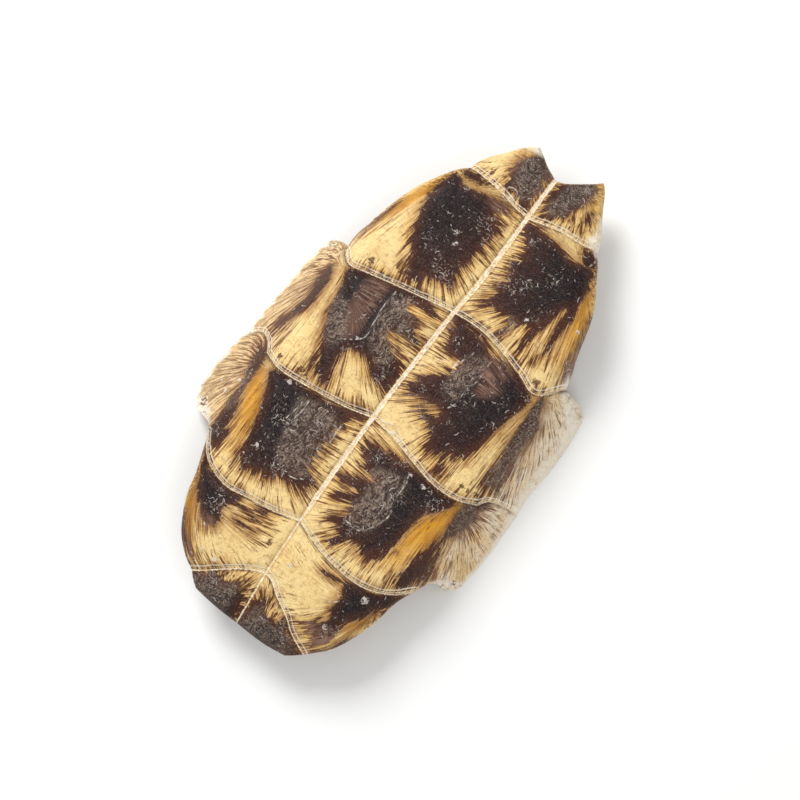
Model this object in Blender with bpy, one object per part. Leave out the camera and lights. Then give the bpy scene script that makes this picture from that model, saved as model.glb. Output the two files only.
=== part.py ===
"""Dried belly shell (plastron) of a tortoise, at its real size, with its outer face up.

The shell grew as one piece, so it is one solid. Its outer face is lofted over the twelve horn
scutes, band by band from the throat to the tail notch: each band lies between two seams, and
each half of it between the midline and the shell's outline. Two more patches carry the pectoral
and abdominal bands out over the bridge walls, which were sawn off where they met the upper
shell. The inner face is the same loft moved in by the bone's thickness.

Outlines, seams and thicknesses are in millimetres, and the finished mesh is in metres. X runs
across, +Y towards the tail notch, and the shell stands on its two sawn edges at Z = 0.
"""

import bmesh
import bpy
import numpy as np

MM = 0.001

# Height of the outer face and how it bends
PLATE_HEIGHT = 23.0
RIDGE_X = 42.0
RIDGE_SOFTNESS = 0.22
THROAT_BEND = (5.0, -40.0, 60.0)
TAIL_BEND = (3.0, 45.0, 55.0)
DISH = (1.0, 22.0, 45.0)
MARGIN_DROOP = 2.6
MARGIN_WIDTH = 13.0
FRONT_LOBE = (-42.0, -58.0)
REAR_LOBE = (28.0, 42.0)

# Relief of the scutes
PILLOW = 0.9
PILLOW_WIDTH = 7.0
SEAM_DEPTH = 0.7
SEAM_WIDTH = 1.5
RIM_STEP = 0.9
REAR_RIM_SHARE = 0.4
RIM_WIDTH = 4.0

# Thickness of the bone
PLATE_THICKNESS = 3.8
LIP_THICKNESS = 6.4
LIP_WIDTH = 14.0
THROAT_THICKENING = 1.6
WALL_THICKNESS = 4.2
BUTTRESS_THICKENING = 1.4
BUTTRESS_WIDTH = 6.0
LOBE_RIM_RADIUS = 2.4
WALL_RIM_RADIUS = 1.0

# Points where the seams meet the midline, with the points between them, from throat to tail
MIDLINE = (
    ((4.3, -98.9), (3.7, -91.1), (2.4, -79.0)),
    ((2.4, -79.0), (1.7, -68.1), (1.0, -57.9)),
    ((1.0, -57.9), (0.2, -42.8), (-0.4, -29.3), (-0.9, -14.0)),
    ((-0.9, -14.0), (-1.2, -2.7), (-1.0, 19.2), (-0.8, 33.0)),
    ((-0.8, 33.0), (-0.1, 45.2), (-0.1, 59.0), (-0.6, 76.3)),
    ((-0.6, 76.3), (-1.0, 86.0), (-1.2, 95.2)),
)

# Front edge, five seams and tail edge of each half, from the midline outwards
SEAMS = {
    "left": (
        ((4.3, -98.9), (-2.8, -98.9), (-9.6, -98.5), (-14.3, -98.0)),
        ((2.4, -79.0), (-1.3, -80.6), (-6.6, -83.9), (-11.9, -88.2), (-15.9, -91.5), (-19.6, -93.8)),
        ((1.0, -57.9), (-7.9, -60.5), (-19.3, -62.5), (-27.0, -63.6), (-35.4, -61.4), (-41.0, -57.2),
         (-44.9, -52.3)),
        ((-0.9, -14.0), (-10.2, -16.7), (-20.3, -18.3), (-30.5, -19.7), (-38.5, -19.9), (-45.2, -17.5)),
        ((-0.8, 33.0), (-10.7, 31.0), (-24.5, 28.1), (-33.4, 26.1), (-41.0, 24.9), (-46.4, 29.4)),
        ((-0.6, 76.3), (-7.6, 77.1), (-13.4, 78.4), (-20.1, 79.4), (-28.7, 80.3)),
        ((-1.2, 95.2), (-6.4, 97.4), (-9.8, 99.7), (-13.0, 101.8)),
    ),
    "right": (
        ((4.3, -98.9), (10.3, -99.0), (16.9, -98.8), (24.2, -97.7)),
        ((2.4, -79.0), (6.0, -80.0), (10.6, -83.1), (17.2, -86.6), (22.4, -90.2), (29.5, -93.3)),
        ((1.0, -57.9), (8.0, -60.3), (16.0, -62.4), (26.5, -63.4), (34.5, -62.2), (41.5, -58.5),
         (47.0, -52.7)),
        ((-0.9, -14.0), (9.2, -15.4), (19.9, -18.2), (31.0, -20.3), (40.0, -19.3), (46.2, -16.1)),
        ((-0.8, 33.0), (10.0, 33.6), (20.0, 32.0), (30.2, 29.1), (39.5, 26.6), (46.7, 36.1)),
        ((-0.6, 76.3), (5.2, 77.8), (11.8, 79.5), (19.0, 80.3), (26.8, 82.0)),
        ((-1.2, 95.2), (1.9, 96.1), (5.8, 98.7), (10.2, 102.2), (13.0, 104.9)),
    ),
}

# Outer side of each band on the plate: the free rim of the lobes, and in the two middle bands the
# line where the plate meets the bridge wall
SIDES = {
    "left": (
        ((-14.3, -98.0), (-17.0, -96.2), (-19.6, -93.8)),
        ((-19.6, -93.8), (-24.9, -90.7), (-30.9, -84.8), (-36.4, -74.9), (-38.9, -66.4),
         (-42.3, -58.4), (-44.9, -52.3)),
        ((-44.9, -52.3), (-43.9, -43.3), (-44.5, -29.2), (-45.2, -17.5)),
        ((-45.2, -17.5), (-44.7, -2.6), (-44.8, 15.3), (-46.4, 29.4)),
        ((-46.4, 29.4), (-47.3, 36.0), (-45.9, 43.0), (-43.4, 52.0), (-39.9, 62.0), (-36.0, 69.6),
         (-32.0, 76.5), (-28.7, 80.3)),
        ((-28.7, 80.3), (-26.2, 86.4), (-22.1, 91.8), (-17.4, 98.5), (-13.0, 101.8)),
    ),
    "right": (
        ((24.2, -97.7), (26.8, -95.7), (29.5, -93.3)),
        ((29.5, -93.3), (36.0, -86.2), (40.0, -77.7), (42.3, -69.9), (43.6, -62.0), (45.0, -57.2),
         (47.0, -52.7)),
        ((47.0, -52.7), (46.1, -43.1), (46.1, -29.3), (46.2, -16.1)),
        ((46.2, -16.1), (45.6, 0.3), (45.4, 18.0), (46.7, 36.1)),
        ((46.7, 36.1), (45.2, 41.6), (43.2, 47.0), (39.9, 59.1), (37.1, 65.8), (33.2, 72.0),
         (28.9, 79.2), (26.8, 82.0)),
        ((26.8, 82.0), (24.4, 87.5), (19.9, 94.5), (15.5, 102.3), (13.0, 104.9)),
    ),
}

# Edges of the bridge walls that run out from the plate: front edge, seam and rear edge
WALL_LINES = {
    "left": (
        ((-44.9, -52.3), (-46.9, -49.9), (-51.6, -48.6), (-55.7, -47.1), (-58.7, -44.5)),
        ((-45.2, -17.5), (-48.1, -13.9), (-52.4, -11.4), (-55.8, -12.0), (-58.6, -14.0)),
        ((-46.4, 29.4), (-48.0, 31.3), (-51.2, 32.0), (-54.0, 31.8), (-56.0, 31.2)),
    ),
    "right": (
        ((47.0, -52.7), (48.7, -48.7), (51.0, -46.3), (54.4, -45.9), (57.6, -43.8)),
        ((46.2, -16.1), (47.9, -13.0), (50.6, -11.2), (55.1, -9.5), (59.4, -8.5)),
        ((46.7, 36.1), (49.3, 35.8), (52.6, 36.0), (55.6, 35.1), (57.9, 33.9)),
    ),
}

# Sawn lower edges of the bridge walls, in front of and behind the seam
CUT_EDGES = {
    "left": (
        ((-58.7, -44.5), (-60.1, -40.2), (-60.7, -35.4), (-60.7, -27.3), (-59.9, -17.8), (-58.6, -14.0)),
        ((-58.6, -14.0), (-59.1, -3.6), (-58.6, 7.5), (-58.3, 18.0), (-57.4, 25.5), (-56.0, 31.2)),
    ),
    "right": (
        ((57.6, -43.8), (58.6, -40.2), (59.5, -32.5), (59.8, -23.6), (59.7, -15.7), (59.4, -8.5)),
        ((59.4, -8.5), (58.7, -1.6), (59.5, 10.1), (59.4, 20.6), (58.7, 28.5), (57.9, 33.9)),
    ),
}

# Fineness of the loft: strips along each band, then across each half and each bridge wall
BAND_STRIPS = (6, 9, 11, 11, 11, 7)
HALF_STRIPS = 13
WALL_STRIPS = 6
BUNCHING = 0.72
CURVE_STEPS = 16
WALL_BANDS = (2, 3)
LAST_BAND = len(BAND_STRIPS) - 1

# Reach of the slope's measure, a gap wider than any relief reaches, and the widest gap that is closed
SLOPE_STEP = 0.5
OUT_OF_REACH = 99.0
MERGE_GAP = 0.001
SHORTEST_CHORD = 1e-9


def bunched(count):
    """Shares from 0 to 1 that lie closer together near both ends, where the seams and rims are."""
    t = np.linspace(0.0, 1.0, count + 1)
    return t - BUNCHING * np.sin(2.0 * np.pi * t) / (2.0 * np.pi)


def smooth_curve(points):
    """A smooth curve through the points, as a dense polyline."""
    knots = np.array(points, dtype=float)
    ends = 2.0 * knots[0] - knots[1], 2.0 * knots[-1] - knots[-2]
    knots = np.vstack([ends[0], knots, ends[1]])
    t = np.linspace(0.0, 1.0, CURVE_STEPS, endpoint=False)[:, None]
    spans = []
    for a, b, c, d in zip(knots, knots[1:], knots[2:], knots[3:]):
        bend = (2.0 * a - 5.0 * b + 4.0 * c - d) * t ** 2 + (3.0 * b - a - 3.0 * c + d) * t ** 3
        spans.append(0.5 * (2.0 * b + (c - a) * t + bend))
    return np.vstack([*spans, knots[-2:-1]])


def at_shares(curve, shares):
    """Points of the curve at shares of its length."""
    length = np.concatenate([[0.0], np.cumsum(np.linalg.norm(np.diff(curve, axis=0), axis=1))])
    length /= length[-1]
    return np.column_stack([np.interp(shares, length, curve[:, k]) for k in range(2)])


def patch(front, rear, inner, outer, across, along):
    """A Coons patch: its rows run from the inner to the outer curve, first row on the front one."""
    front, rear = at_shares(front, across)[None], at_shares(rear, across)[None]
    inner, outer = at_shares(inner, along)[:, None], at_shares(outer, along)[:, None]
    u, v = across[None, :, None], along[:, None, None]
    ruled = (1.0 - v) * front + v * rear + (1.0 - u) * inner + u * outer
    corners = (1.0 - v) * ((1.0 - u) * front[:, :1] + u * front[:, -1:])
    corners = corners + v * ((1.0 - u) * rear[:, :1] + u * rear[:, -1:])
    return ruled - corners


def distance(points, curve):
    """Distance of each point from the polyline."""
    start, run = curve[:-1], np.diff(curve, axis=0)
    flat = points.reshape(-1, 1, 2)
    share = ((flat - start) * run).sum(-1) / np.maximum((run ** 2).sum(-1), SHORTEST_CHORD)
    nearest = start + np.clip(share, 0.0, 1.0)[..., None] * run
    return np.linalg.norm(flat - nearest, axis=-1).min(axis=1).reshape(points.shape[:-1])


def smooth_step(value, low, high):
    """0 below low, 1 above high, and a smooth rise between."""
    t = np.clip((value - low) / (high - low), 0.0, 1.0)
    return t * t * (3.0 - 2.0 * t)


def lobe_share(y):
    """1 on the two free lobes, 0 between the bridge walls."""
    return smooth_step(-y, -FRONT_LOBE[0], -FRONT_LOBE[1]) + smooth_step(y, *REAR_LOBE)


def wall_share(x, y, cut):
    """0 on the ridge above a bridge wall, 1 on its sawn edge."""
    reach = np.where(x < 0.0, -cut_x(cut["left"], y), cut_x(cut["right"], y))
    return (np.abs(x) - RIDGE_X) / (reach - RIDGE_X)


def cut_x(edge, y):
    """X of a sawn edge at a given Y."""
    return np.interp(y, edge[:, 1], edge[:, 0])


def ridge_turn(share):
    """How far the face has turned down: 0 on the plate, then a steady slope to 1 at the cut."""
    def soft(t):
        return 0.5 * (t + np.sqrt(t * t + RIDGE_SOFTNESS ** 2))
    return soft(share) / soft(1.0)


def base_height(x, y, cut):
    """Height of the outer face without relief."""
    throat, tail = THROAT_BEND, TAIL_BEND
    plate = PLATE_HEIGHT - throat[0] * np.maximum(0.0, (throat[1] - y) / throat[2]) ** 2
    plate = plate - tail[0] * np.maximum(0.0, (y - tail[1]) / tail[2]) ** 2
    plate = plate - DISH[0] * np.exp(-(x / DISH[1]) ** 2 - (y / DISH[2]) ** 2)
    return plate * (1.0 - ridge_turn(wall_share(x, y, cut)))


def face_normal(x, y, cut):
    """Unit normal of the outer face without relief."""
    step = SLOPE_STEP
    slope_x = (base_height(x + step, y, cut) - base_height(x - step, y, cut)) / (2.0 * step)
    slope_y = (base_height(x, y + step, cut) - base_height(x, y - step, cut)) / (2.0 * step)
    normal = np.stack([-slope_x, -slope_y, np.ones_like(x)], axis=-1)
    return normal / np.linalg.norm(normal, axis=-1, keepdims=True)


def relief(points, band, seams, midline):
    """Pillow of each scute, groove of each seam, and the raised front rim of each rear scute."""
    nothing = np.full(points.shape[:-1], OUT_OF_REACH)
    front = distance(points, seams[band]) if band > 0 else nothing
    rear = distance(points, seams[band + 1]) if band < LAST_BAND else nothing
    near = np.minimum(np.minimum(front, rear), distance(points, midline))
    off_seam = 1.0 - np.exp(-(near / SEAM_WIDTH) ** 2)
    height = PILLOW * (1.0 - np.exp(-(near / PILLOW_WIDTH) ** 2)) - SEAM_DEPTH * (1.0 - off_seam)
    rims = np.exp(-front / RIM_WIDTH) - REAR_RIM_SHARE * np.exp(-rear / RIM_WIDTH)
    return height + RIM_STEP * off_seam * rims


def outer_and_inner(points, heights, rims, front_edge, cut):
    """Points of the outer and inner face over the flat loft."""
    x, y = points[..., 0], points[..., 1]
    wall = smooth_step(wall_share(x, y, cut), 0.0, 1.0)
    lobe = lobe_share(y)
    edge = np.min([distance(points, rim) for rim in rims], axis=0)
    droop = MARGIN_DROOP * lobe * np.maximum(0.0, 1.0 - edge / MARGIN_WIDTH) ** 2
    radius = WALL_RIM_RADIUS + (LOBE_RIM_RADIUS - WALL_RIM_RADIUS) * lobe
    inset = np.minimum(edge, radius)
    rounding = (radius - np.sqrt(inset * (2.0 * radius - inset))) * (1.0 - wall)

    base = base_height(x, y, cut)
    outer = np.dstack([points, base + (heights - droop) * (1.0 - wall) - rounding])

    lip = lobe * np.exp(-(edge / LIP_WIDTH) ** 2)
    thickness = PLATE_THICKNESS + (LIP_THICKNESS - PLATE_THICKNESS) * lip
    thickness += THROAT_THICKENING * np.exp(-(distance(points, front_edge) / LIP_WIDTH) ** 2)
    buttress = BUTTRESS_THICKENING * np.exp(-(edge / BUTTRESS_WIDTH) ** 2) * (1.0 - wall)
    thickness += (WALL_THICKNESS + buttress - thickness) * wall * (1.0 - lobe)
    inward = -face_normal(x, y, cut) * (1.0 - wall)[..., None]
    inward[..., 0] -= np.sign(x) * wall
    inward /= np.linalg.norm(inward, axis=-1, keepdims=True)
    inner = np.dstack([points, base - droop * (1.0 - wall)]) + inward * thickness[..., None]
    inner[..., 2] += rounding
    return outer, inner


def loft_plate(seams, sides, midlines, along):
    """Flat loft of the plate and the band of each row: columns run from left to right."""
    across = bunched(HALF_STRIPS)
    rows, bands = [], []
    for band, shares in enumerate(along):
        halves = [
            patch(seams[side][band], seams[side][band + 1], midlines[band], sides[side][band], across, shares)
            for side in ("left", "right")
        ]
        block = np.concatenate([halves[0][:, ::-1], halves[1][:, 1:]], axis=1)
        first = 0 if band == 0 else 1
        rows.append(block[first:])
        bands += [band] * (len(block) - first)
    return np.concatenate(rows), bands


def loft_wall(side, sides, walls, along):
    """Flat loft of one bridge wall, its columns running from left to right."""
    across = bunched(WALL_STRIPS)
    cuts = [smooth_curve(edge) for edge in CUT_EDGES[side]]
    blocks, bands = [], []
    for index, band in enumerate(WALL_BANDS):
        lines = walls[side][index:index + 2]
        block = patch(*lines, sides[side][band], cuts[index], across, along[band])
        blocks.append(block[1 if index else 0:])
        bands += [band] * len(blocks[-1])
    loft = np.concatenate(blocks)
    return (loft[:, ::-1] if side == "left" else loft), bands


def add_sheet(bm, outer, inner):
    """A grid primitive whose points are moved onto the outer face and remember the inner one."""
    below = bm.verts.layers.float_vector["inner"]
    rows, columns = outer.shape[:2]
    grid = bmesh.ops.create_grid(bm, x_segments=columns - 1, y_segments=rows - 1, size=1.0)
    for vert, point, under in zip(grid["verts"], outer.reshape(-1, 3), inner.reshape(-1, 3)):
        vert.co = point
        vert[below] = under


def close_shell(sheets):
    """Joins the sheets, copies them to the inner face and closes the border between the two."""
    bm = bmesh.new()
    below = bm.verts.layers.float_vector.new("inner")
    for outer, inner in sheets:
        add_sheet(bm, outer, inner)
    bmesh.ops.remove_doubles(bm, verts=bm.verts, dist=MERGE_GAP)
    originals = bm.verts[:]
    border = [tuple(edge.verts) for edge in bm.edges if edge.is_boundary]
    twin = bmesh.ops.duplicate(bm, geom=originals + bm.edges[:] + bm.faces[:])["vert_map"]
    for first, second in border:
        bm.faces.new((second, first, twin[first], twin[second]))
    for original in originals:
        twin[original].co = original[below]
    bmesh.ops.recalc_face_normals(bm, faces=bm.faces)
    return bm


def horn_material():
    """Dark brown horn, satin from handling."""
    material = bpy.data.materials.new("dried_horn")
    material.use_nodes = True
    shader = material.node_tree.nodes["Principled BSDF"]
    shader.inputs["Base Color"].default_value = (0.16, 0.09, 0.05, 1.0)
    shader.inputs["Roughness"].default_value = 0.45
    shader.inputs["Metallic"].default_value = 0.0
    return material


def scute_heights(loft, bands, seams, midline):
    """Relief at each point of a loft whose rows lie in the given bands."""
    heights = np.zeros(loft.shape[:2])
    middle = np.interp(loft[..., 1], midline[:, 1], midline[:, 0])
    for band in sorted(set(bands)):
        for side, here in (("left", loft[..., 0] <= middle), ("right", loft[..., 0] > middle)):
            mask = here & (np.array(bands) == band)[:, None]
            heights[mask] = relief(loft[mask], band, seams[side], midline)
    return heights


def build_plastron():
    """The whole shell as one named object."""
    seams = {side: [smooth_curve(points) for points in SEAMS[side]] for side in SEAMS}
    sides = {side: [smooth_curve(points) for points in SIDES[side]] for side in SIDES}
    walls = {side: [smooth_curve(points) for points in WALL_LINES[side]] for side in WALL_LINES}
    midlines = [smooth_curve(points) for points in MIDLINE]
    midline = np.vstack(midlines)
    cut = {side: np.vstack([smooth_curve(points) for points in CUT_EDGES[side]]) for side in CUT_EDGES}
    front_edge = np.vstack([seams["left"][0][::-1], seams["right"][0]])
    along = [bunched(count) for count in BAND_STRIPS]

    rims, whole_seams = [], {}
    for side in ("left", "right"):
        rims.append(np.vstack([seams[side][0], sides[side][0], sides[side][1], walls[side][0]]))
        rims.append(np.vstack([walls[side][2][::-1], sides[side][4], sides[side][5], seams[side][6][::-1]]))
        whole_seams[side] = list(seams[side])
        whole_seams[side][3] = np.vstack([seams[side][3], walls[side][1]])

    lofts = [loft_plate(seams, sides, midlines, along)]
    lofts += [loft_wall(side, sides, walls, along) for side in ("left", "right")]
    sheets = []
    for loft, bands in lofts:
        heights = scute_heights(loft, bands, whole_seams, midline)
        sheets.append(outer_and_inner(loft, heights, rims, front_edge, cut))

    bm = close_shell(sheets)
    points = np.array([vert.co for vert in bm.verts])
    centre = (points.min(axis=0) + points.max(axis=0)) / 2.0
    bmesh.ops.translate(bm, verts=bm.verts, vec=(-centre[0], -centre[1], 0.0))
    bmesh.ops.scale(bm, verts=bm.verts, vec=(MM, MM, MM))
    mesh = bpy.data.meshes.new("plastron")
    bm.to_mesh(mesh)
    bm.free()
    mesh.materials.append(horn_material())
    return bpy.data.objects.new("plastron", mesh)


def main():
    for old in list(bpy.data.objects):
        bpy.data.objects.remove(old, do_unlink=True)
    collection = bpy.data.collections.new("dried_tortoise_plastron")
    bpy.context.scene.collection.children.link(collection)
    collection.objects.link(build_plastron())


if __name__ == "__main__":
    main()
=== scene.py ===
"""Dressed model of a dried tortoise plastron: horn scutes on bone, fine relief, seams and flaking.

The shell is lofted again over the outlines of the CAD solid, at a finer pitch and with the relief
that the solid leaves out. Outlines and marks are in millimetres of the shell's plan, X across and
+Y towards the tail notch; meshes are in metres, in the frame of the CAD model.
"""

import logging
import math
from dataclasses import dataclass, field
from enum import Enum

import bpy
import numpy as np
from mathutils import Matrix, Vector


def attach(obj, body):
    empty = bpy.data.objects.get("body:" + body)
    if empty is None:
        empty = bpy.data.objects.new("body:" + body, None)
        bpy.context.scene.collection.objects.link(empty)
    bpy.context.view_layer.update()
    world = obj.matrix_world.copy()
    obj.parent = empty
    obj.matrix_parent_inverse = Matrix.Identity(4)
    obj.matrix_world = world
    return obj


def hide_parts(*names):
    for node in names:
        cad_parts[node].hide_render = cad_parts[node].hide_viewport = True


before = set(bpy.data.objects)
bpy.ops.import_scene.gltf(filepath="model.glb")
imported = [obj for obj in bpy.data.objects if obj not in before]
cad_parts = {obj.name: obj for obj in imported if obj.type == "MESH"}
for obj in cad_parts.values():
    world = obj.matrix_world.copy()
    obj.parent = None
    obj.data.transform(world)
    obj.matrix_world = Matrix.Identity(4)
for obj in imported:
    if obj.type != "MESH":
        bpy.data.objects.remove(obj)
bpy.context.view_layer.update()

log = logging.getLogger("plastron")

MM = 0.001
Array = np.ndarray
Line = tuple[tuple[float, float], ...]
Colour = tuple[float, float, float]
Spot = tuple[float, float, float]


class Side(Enum):
    """Half of the shell, as seen from above with the tail up."""

    LEFT = "left"
    RIGHT = "right"


# Outlines, in millimetres, as in the CAD solid

MIDLINE: tuple[Line, ...] = (
    ((4.3, -98.9), (3.7, -91.1), (2.4, -79.0)),
    ((2.4, -79.0), (1.7, -68.1), (1.0, -57.9)),
    ((1.0, -57.9), (0.2, -42.8), (-0.4, -29.3), (-0.9, -14.0)),
    ((-0.9, -14.0), (-1.2, -2.7), (-1.0, 19.2), (-0.8, 33.0)),
    ((-0.8, 33.0), (-0.1, 45.2), (-0.1, 59.0), (-0.6, 76.3)),
    ((-0.6, 76.3), (-1.0, 86.0), (-1.2, 95.2)),
)


@dataclass(frozen=True)
class HalfOutline:
    """Lines of one half of the shell.

    Attributes:
        seams: front edge, five seams and tail edge, from the midline outwards.
        rims: outer side of each scute band on the plate.
        wall_lines: front edge, seam and rear edge of the bridge wall.
        cut_edges: sawn edge in front of and behind the wall's seam.
    """

    seams: tuple[Line, ...]
    rims: tuple[Line, ...]
    wall_lines: tuple[Line, ...]
    cut_edges: tuple[Line, ...]


OUTLINES: dict[Side, HalfOutline] = {
    Side.LEFT: HalfOutline(
        seams=(
            ((4.3, -98.9), (-2.8, -98.9), (-9.6, -98.5), (-14.3, -98.0)),
            ((2.4, -79.0), (-1.3, -80.6), (-6.6, -83.9), (-11.9, -88.2), (-15.9, -91.5), (-19.6, -93.8)),
            ((1.0, -57.9), (-7.9, -60.5), (-19.3, -62.5), (-27.0, -63.6), (-35.4, -61.4),
             (-41.0, -57.2), (-44.9, -52.3)),
            ((-0.9, -14.0), (-10.2, -16.7), (-20.3, -18.3), (-30.5, -19.7), (-38.5, -19.9), (-45.2, -17.5)),
            ((-0.8, 33.0), (-10.7, 31.0), (-24.5, 28.1), (-33.4, 26.1), (-41.0, 24.9), (-46.4, 29.4)),
            ((-0.6, 76.3), (-7.6, 77.1), (-13.4, 78.4), (-20.1, 79.4), (-28.7, 80.3)),
            ((-1.2, 95.2), (-6.4, 97.4), (-9.8, 99.7), (-13.0, 101.8)),
        ),
        rims=(
            ((-14.3, -98.0), (-17.0, -96.2), (-19.6, -93.8)),
            ((-19.6, -93.8), (-24.9, -90.7), (-30.9, -84.8), (-36.4, -74.9), (-38.9, -66.4),
             (-42.3, -58.4), (-44.9, -52.3)),
            ((-44.9, -52.3), (-43.9, -43.3), (-44.5, -29.2), (-45.2, -17.5)),
            ((-45.2, -17.5), (-44.7, -2.6), (-44.8, 15.3), (-46.4, 29.4)),
            ((-46.4, 29.4), (-47.3, 36.0), (-45.9, 43.0), (-43.4, 52.0), (-39.9, 62.0), (-36.0, 69.6),
             (-32.0, 76.5), (-28.7, 80.3)),
            ((-28.7, 80.3), (-26.2, 86.4), (-22.1, 91.8), (-17.4, 98.5), (-13.0, 101.8)),
        ),
        wall_lines=(
            ((-44.9, -52.3), (-46.9, -49.9), (-51.6, -48.6), (-55.7, -47.1), (-58.7, -44.5)),
            ((-45.2, -17.5), (-48.1, -13.9), (-52.4, -11.4), (-55.8, -12.0), (-58.6, -14.0)),
            ((-46.4, 29.4), (-48.0, 31.3), (-51.2, 32.0), (-54.0, 31.8), (-56.0, 31.2)),
        ),
        cut_edges=(
            ((-58.7, -44.5), (-60.1, -40.2), (-60.7, -35.4), (-60.7, -27.3), (-59.9, -17.8), (-58.6, -14.0)),
            ((-58.6, -14.0), (-59.1, -3.6), (-58.6, 7.5), (-58.3, 18.0), (-57.4, 25.5), (-56.0, 31.2)),
        ),
    ),
    Side.RIGHT: HalfOutline(
        seams=(
            ((4.3, -98.9), (10.3, -99.0), (16.9, -98.8), (24.2, -97.7)),
            ((2.4, -79.0), (6.0, -80.0), (10.6, -83.1), (17.2, -86.6), (22.4, -90.2), (29.5, -93.3)),
            ((1.0, -57.9), (8.0, -60.3), (16.0, -62.4), (26.5, -63.4), (34.5, -62.2), (41.5, -58.5),
             (47.0, -52.7)),
            ((-0.9, -14.0), (9.2, -15.4), (19.9, -18.2), (31.0, -20.3), (40.0, -19.3), (46.2, -16.1)),
            ((-0.8, 33.0), (10.0, 33.6), (20.0, 32.0), (30.2, 29.1), (39.5, 26.6), (46.7, 36.1)),
            ((-0.6, 76.3), (5.2, 77.8), (11.8, 79.5), (19.0, 80.3), (26.8, 82.0)),
            ((-1.2, 95.2), (1.9, 96.1), (5.8, 98.7), (10.2, 102.2), (13.0, 104.9)),
        ),
        rims=(
            ((24.2, -97.7), (26.8, -95.7), (29.5, -93.3)),
            ((29.5, -93.3), (36.0, -86.2), (40.0, -77.7), (42.3, -69.9), (43.6, -62.0), (45.0, -57.2),
             (47.0, -52.7)),
            ((47.0, -52.7), (46.1, -43.1), (46.1, -29.3), (46.2, -16.1)),
            ((46.2, -16.1), (45.6, 0.3), (45.4, 18.0), (46.7, 36.1)),
            ((46.7, 36.1), (45.2, 41.6), (43.2, 47.0), (39.9, 59.1), (37.1, 65.8), (33.2, 72.0),
             (28.9, 79.2), (26.8, 82.0)),
            ((26.8, 82.0), (24.4, 87.5), (19.9, 94.5), (15.5, 102.3), (13.0, 104.9)),
        ),
        wall_lines=(
            ((47.0, -52.7), (48.7, -48.7), (51.0, -46.3), (54.4, -45.9), (57.6, -43.8)),
            ((46.2, -16.1), (47.9, -13.0), (50.6, -11.2), (55.1, -9.5), (59.4, -8.5)),
            ((46.7, 36.1), (49.3, 35.8), (52.6, 36.0), (55.6, 35.1), (57.9, 33.9)),
        ),
        cut_edges=(
            ((57.6, -43.8), (58.6, -40.2), (59.5, -32.5), (59.8, -23.6), (59.7, -15.7), (59.4, -8.5)),
            ((59.4, -8.5), (58.7, -1.6), (59.5, 10.1), (59.4, 20.6), (58.7, 28.5), (57.9, 33.9)),
        ),
    ),
}

# Marks on the horn, drawn in millimetres

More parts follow.
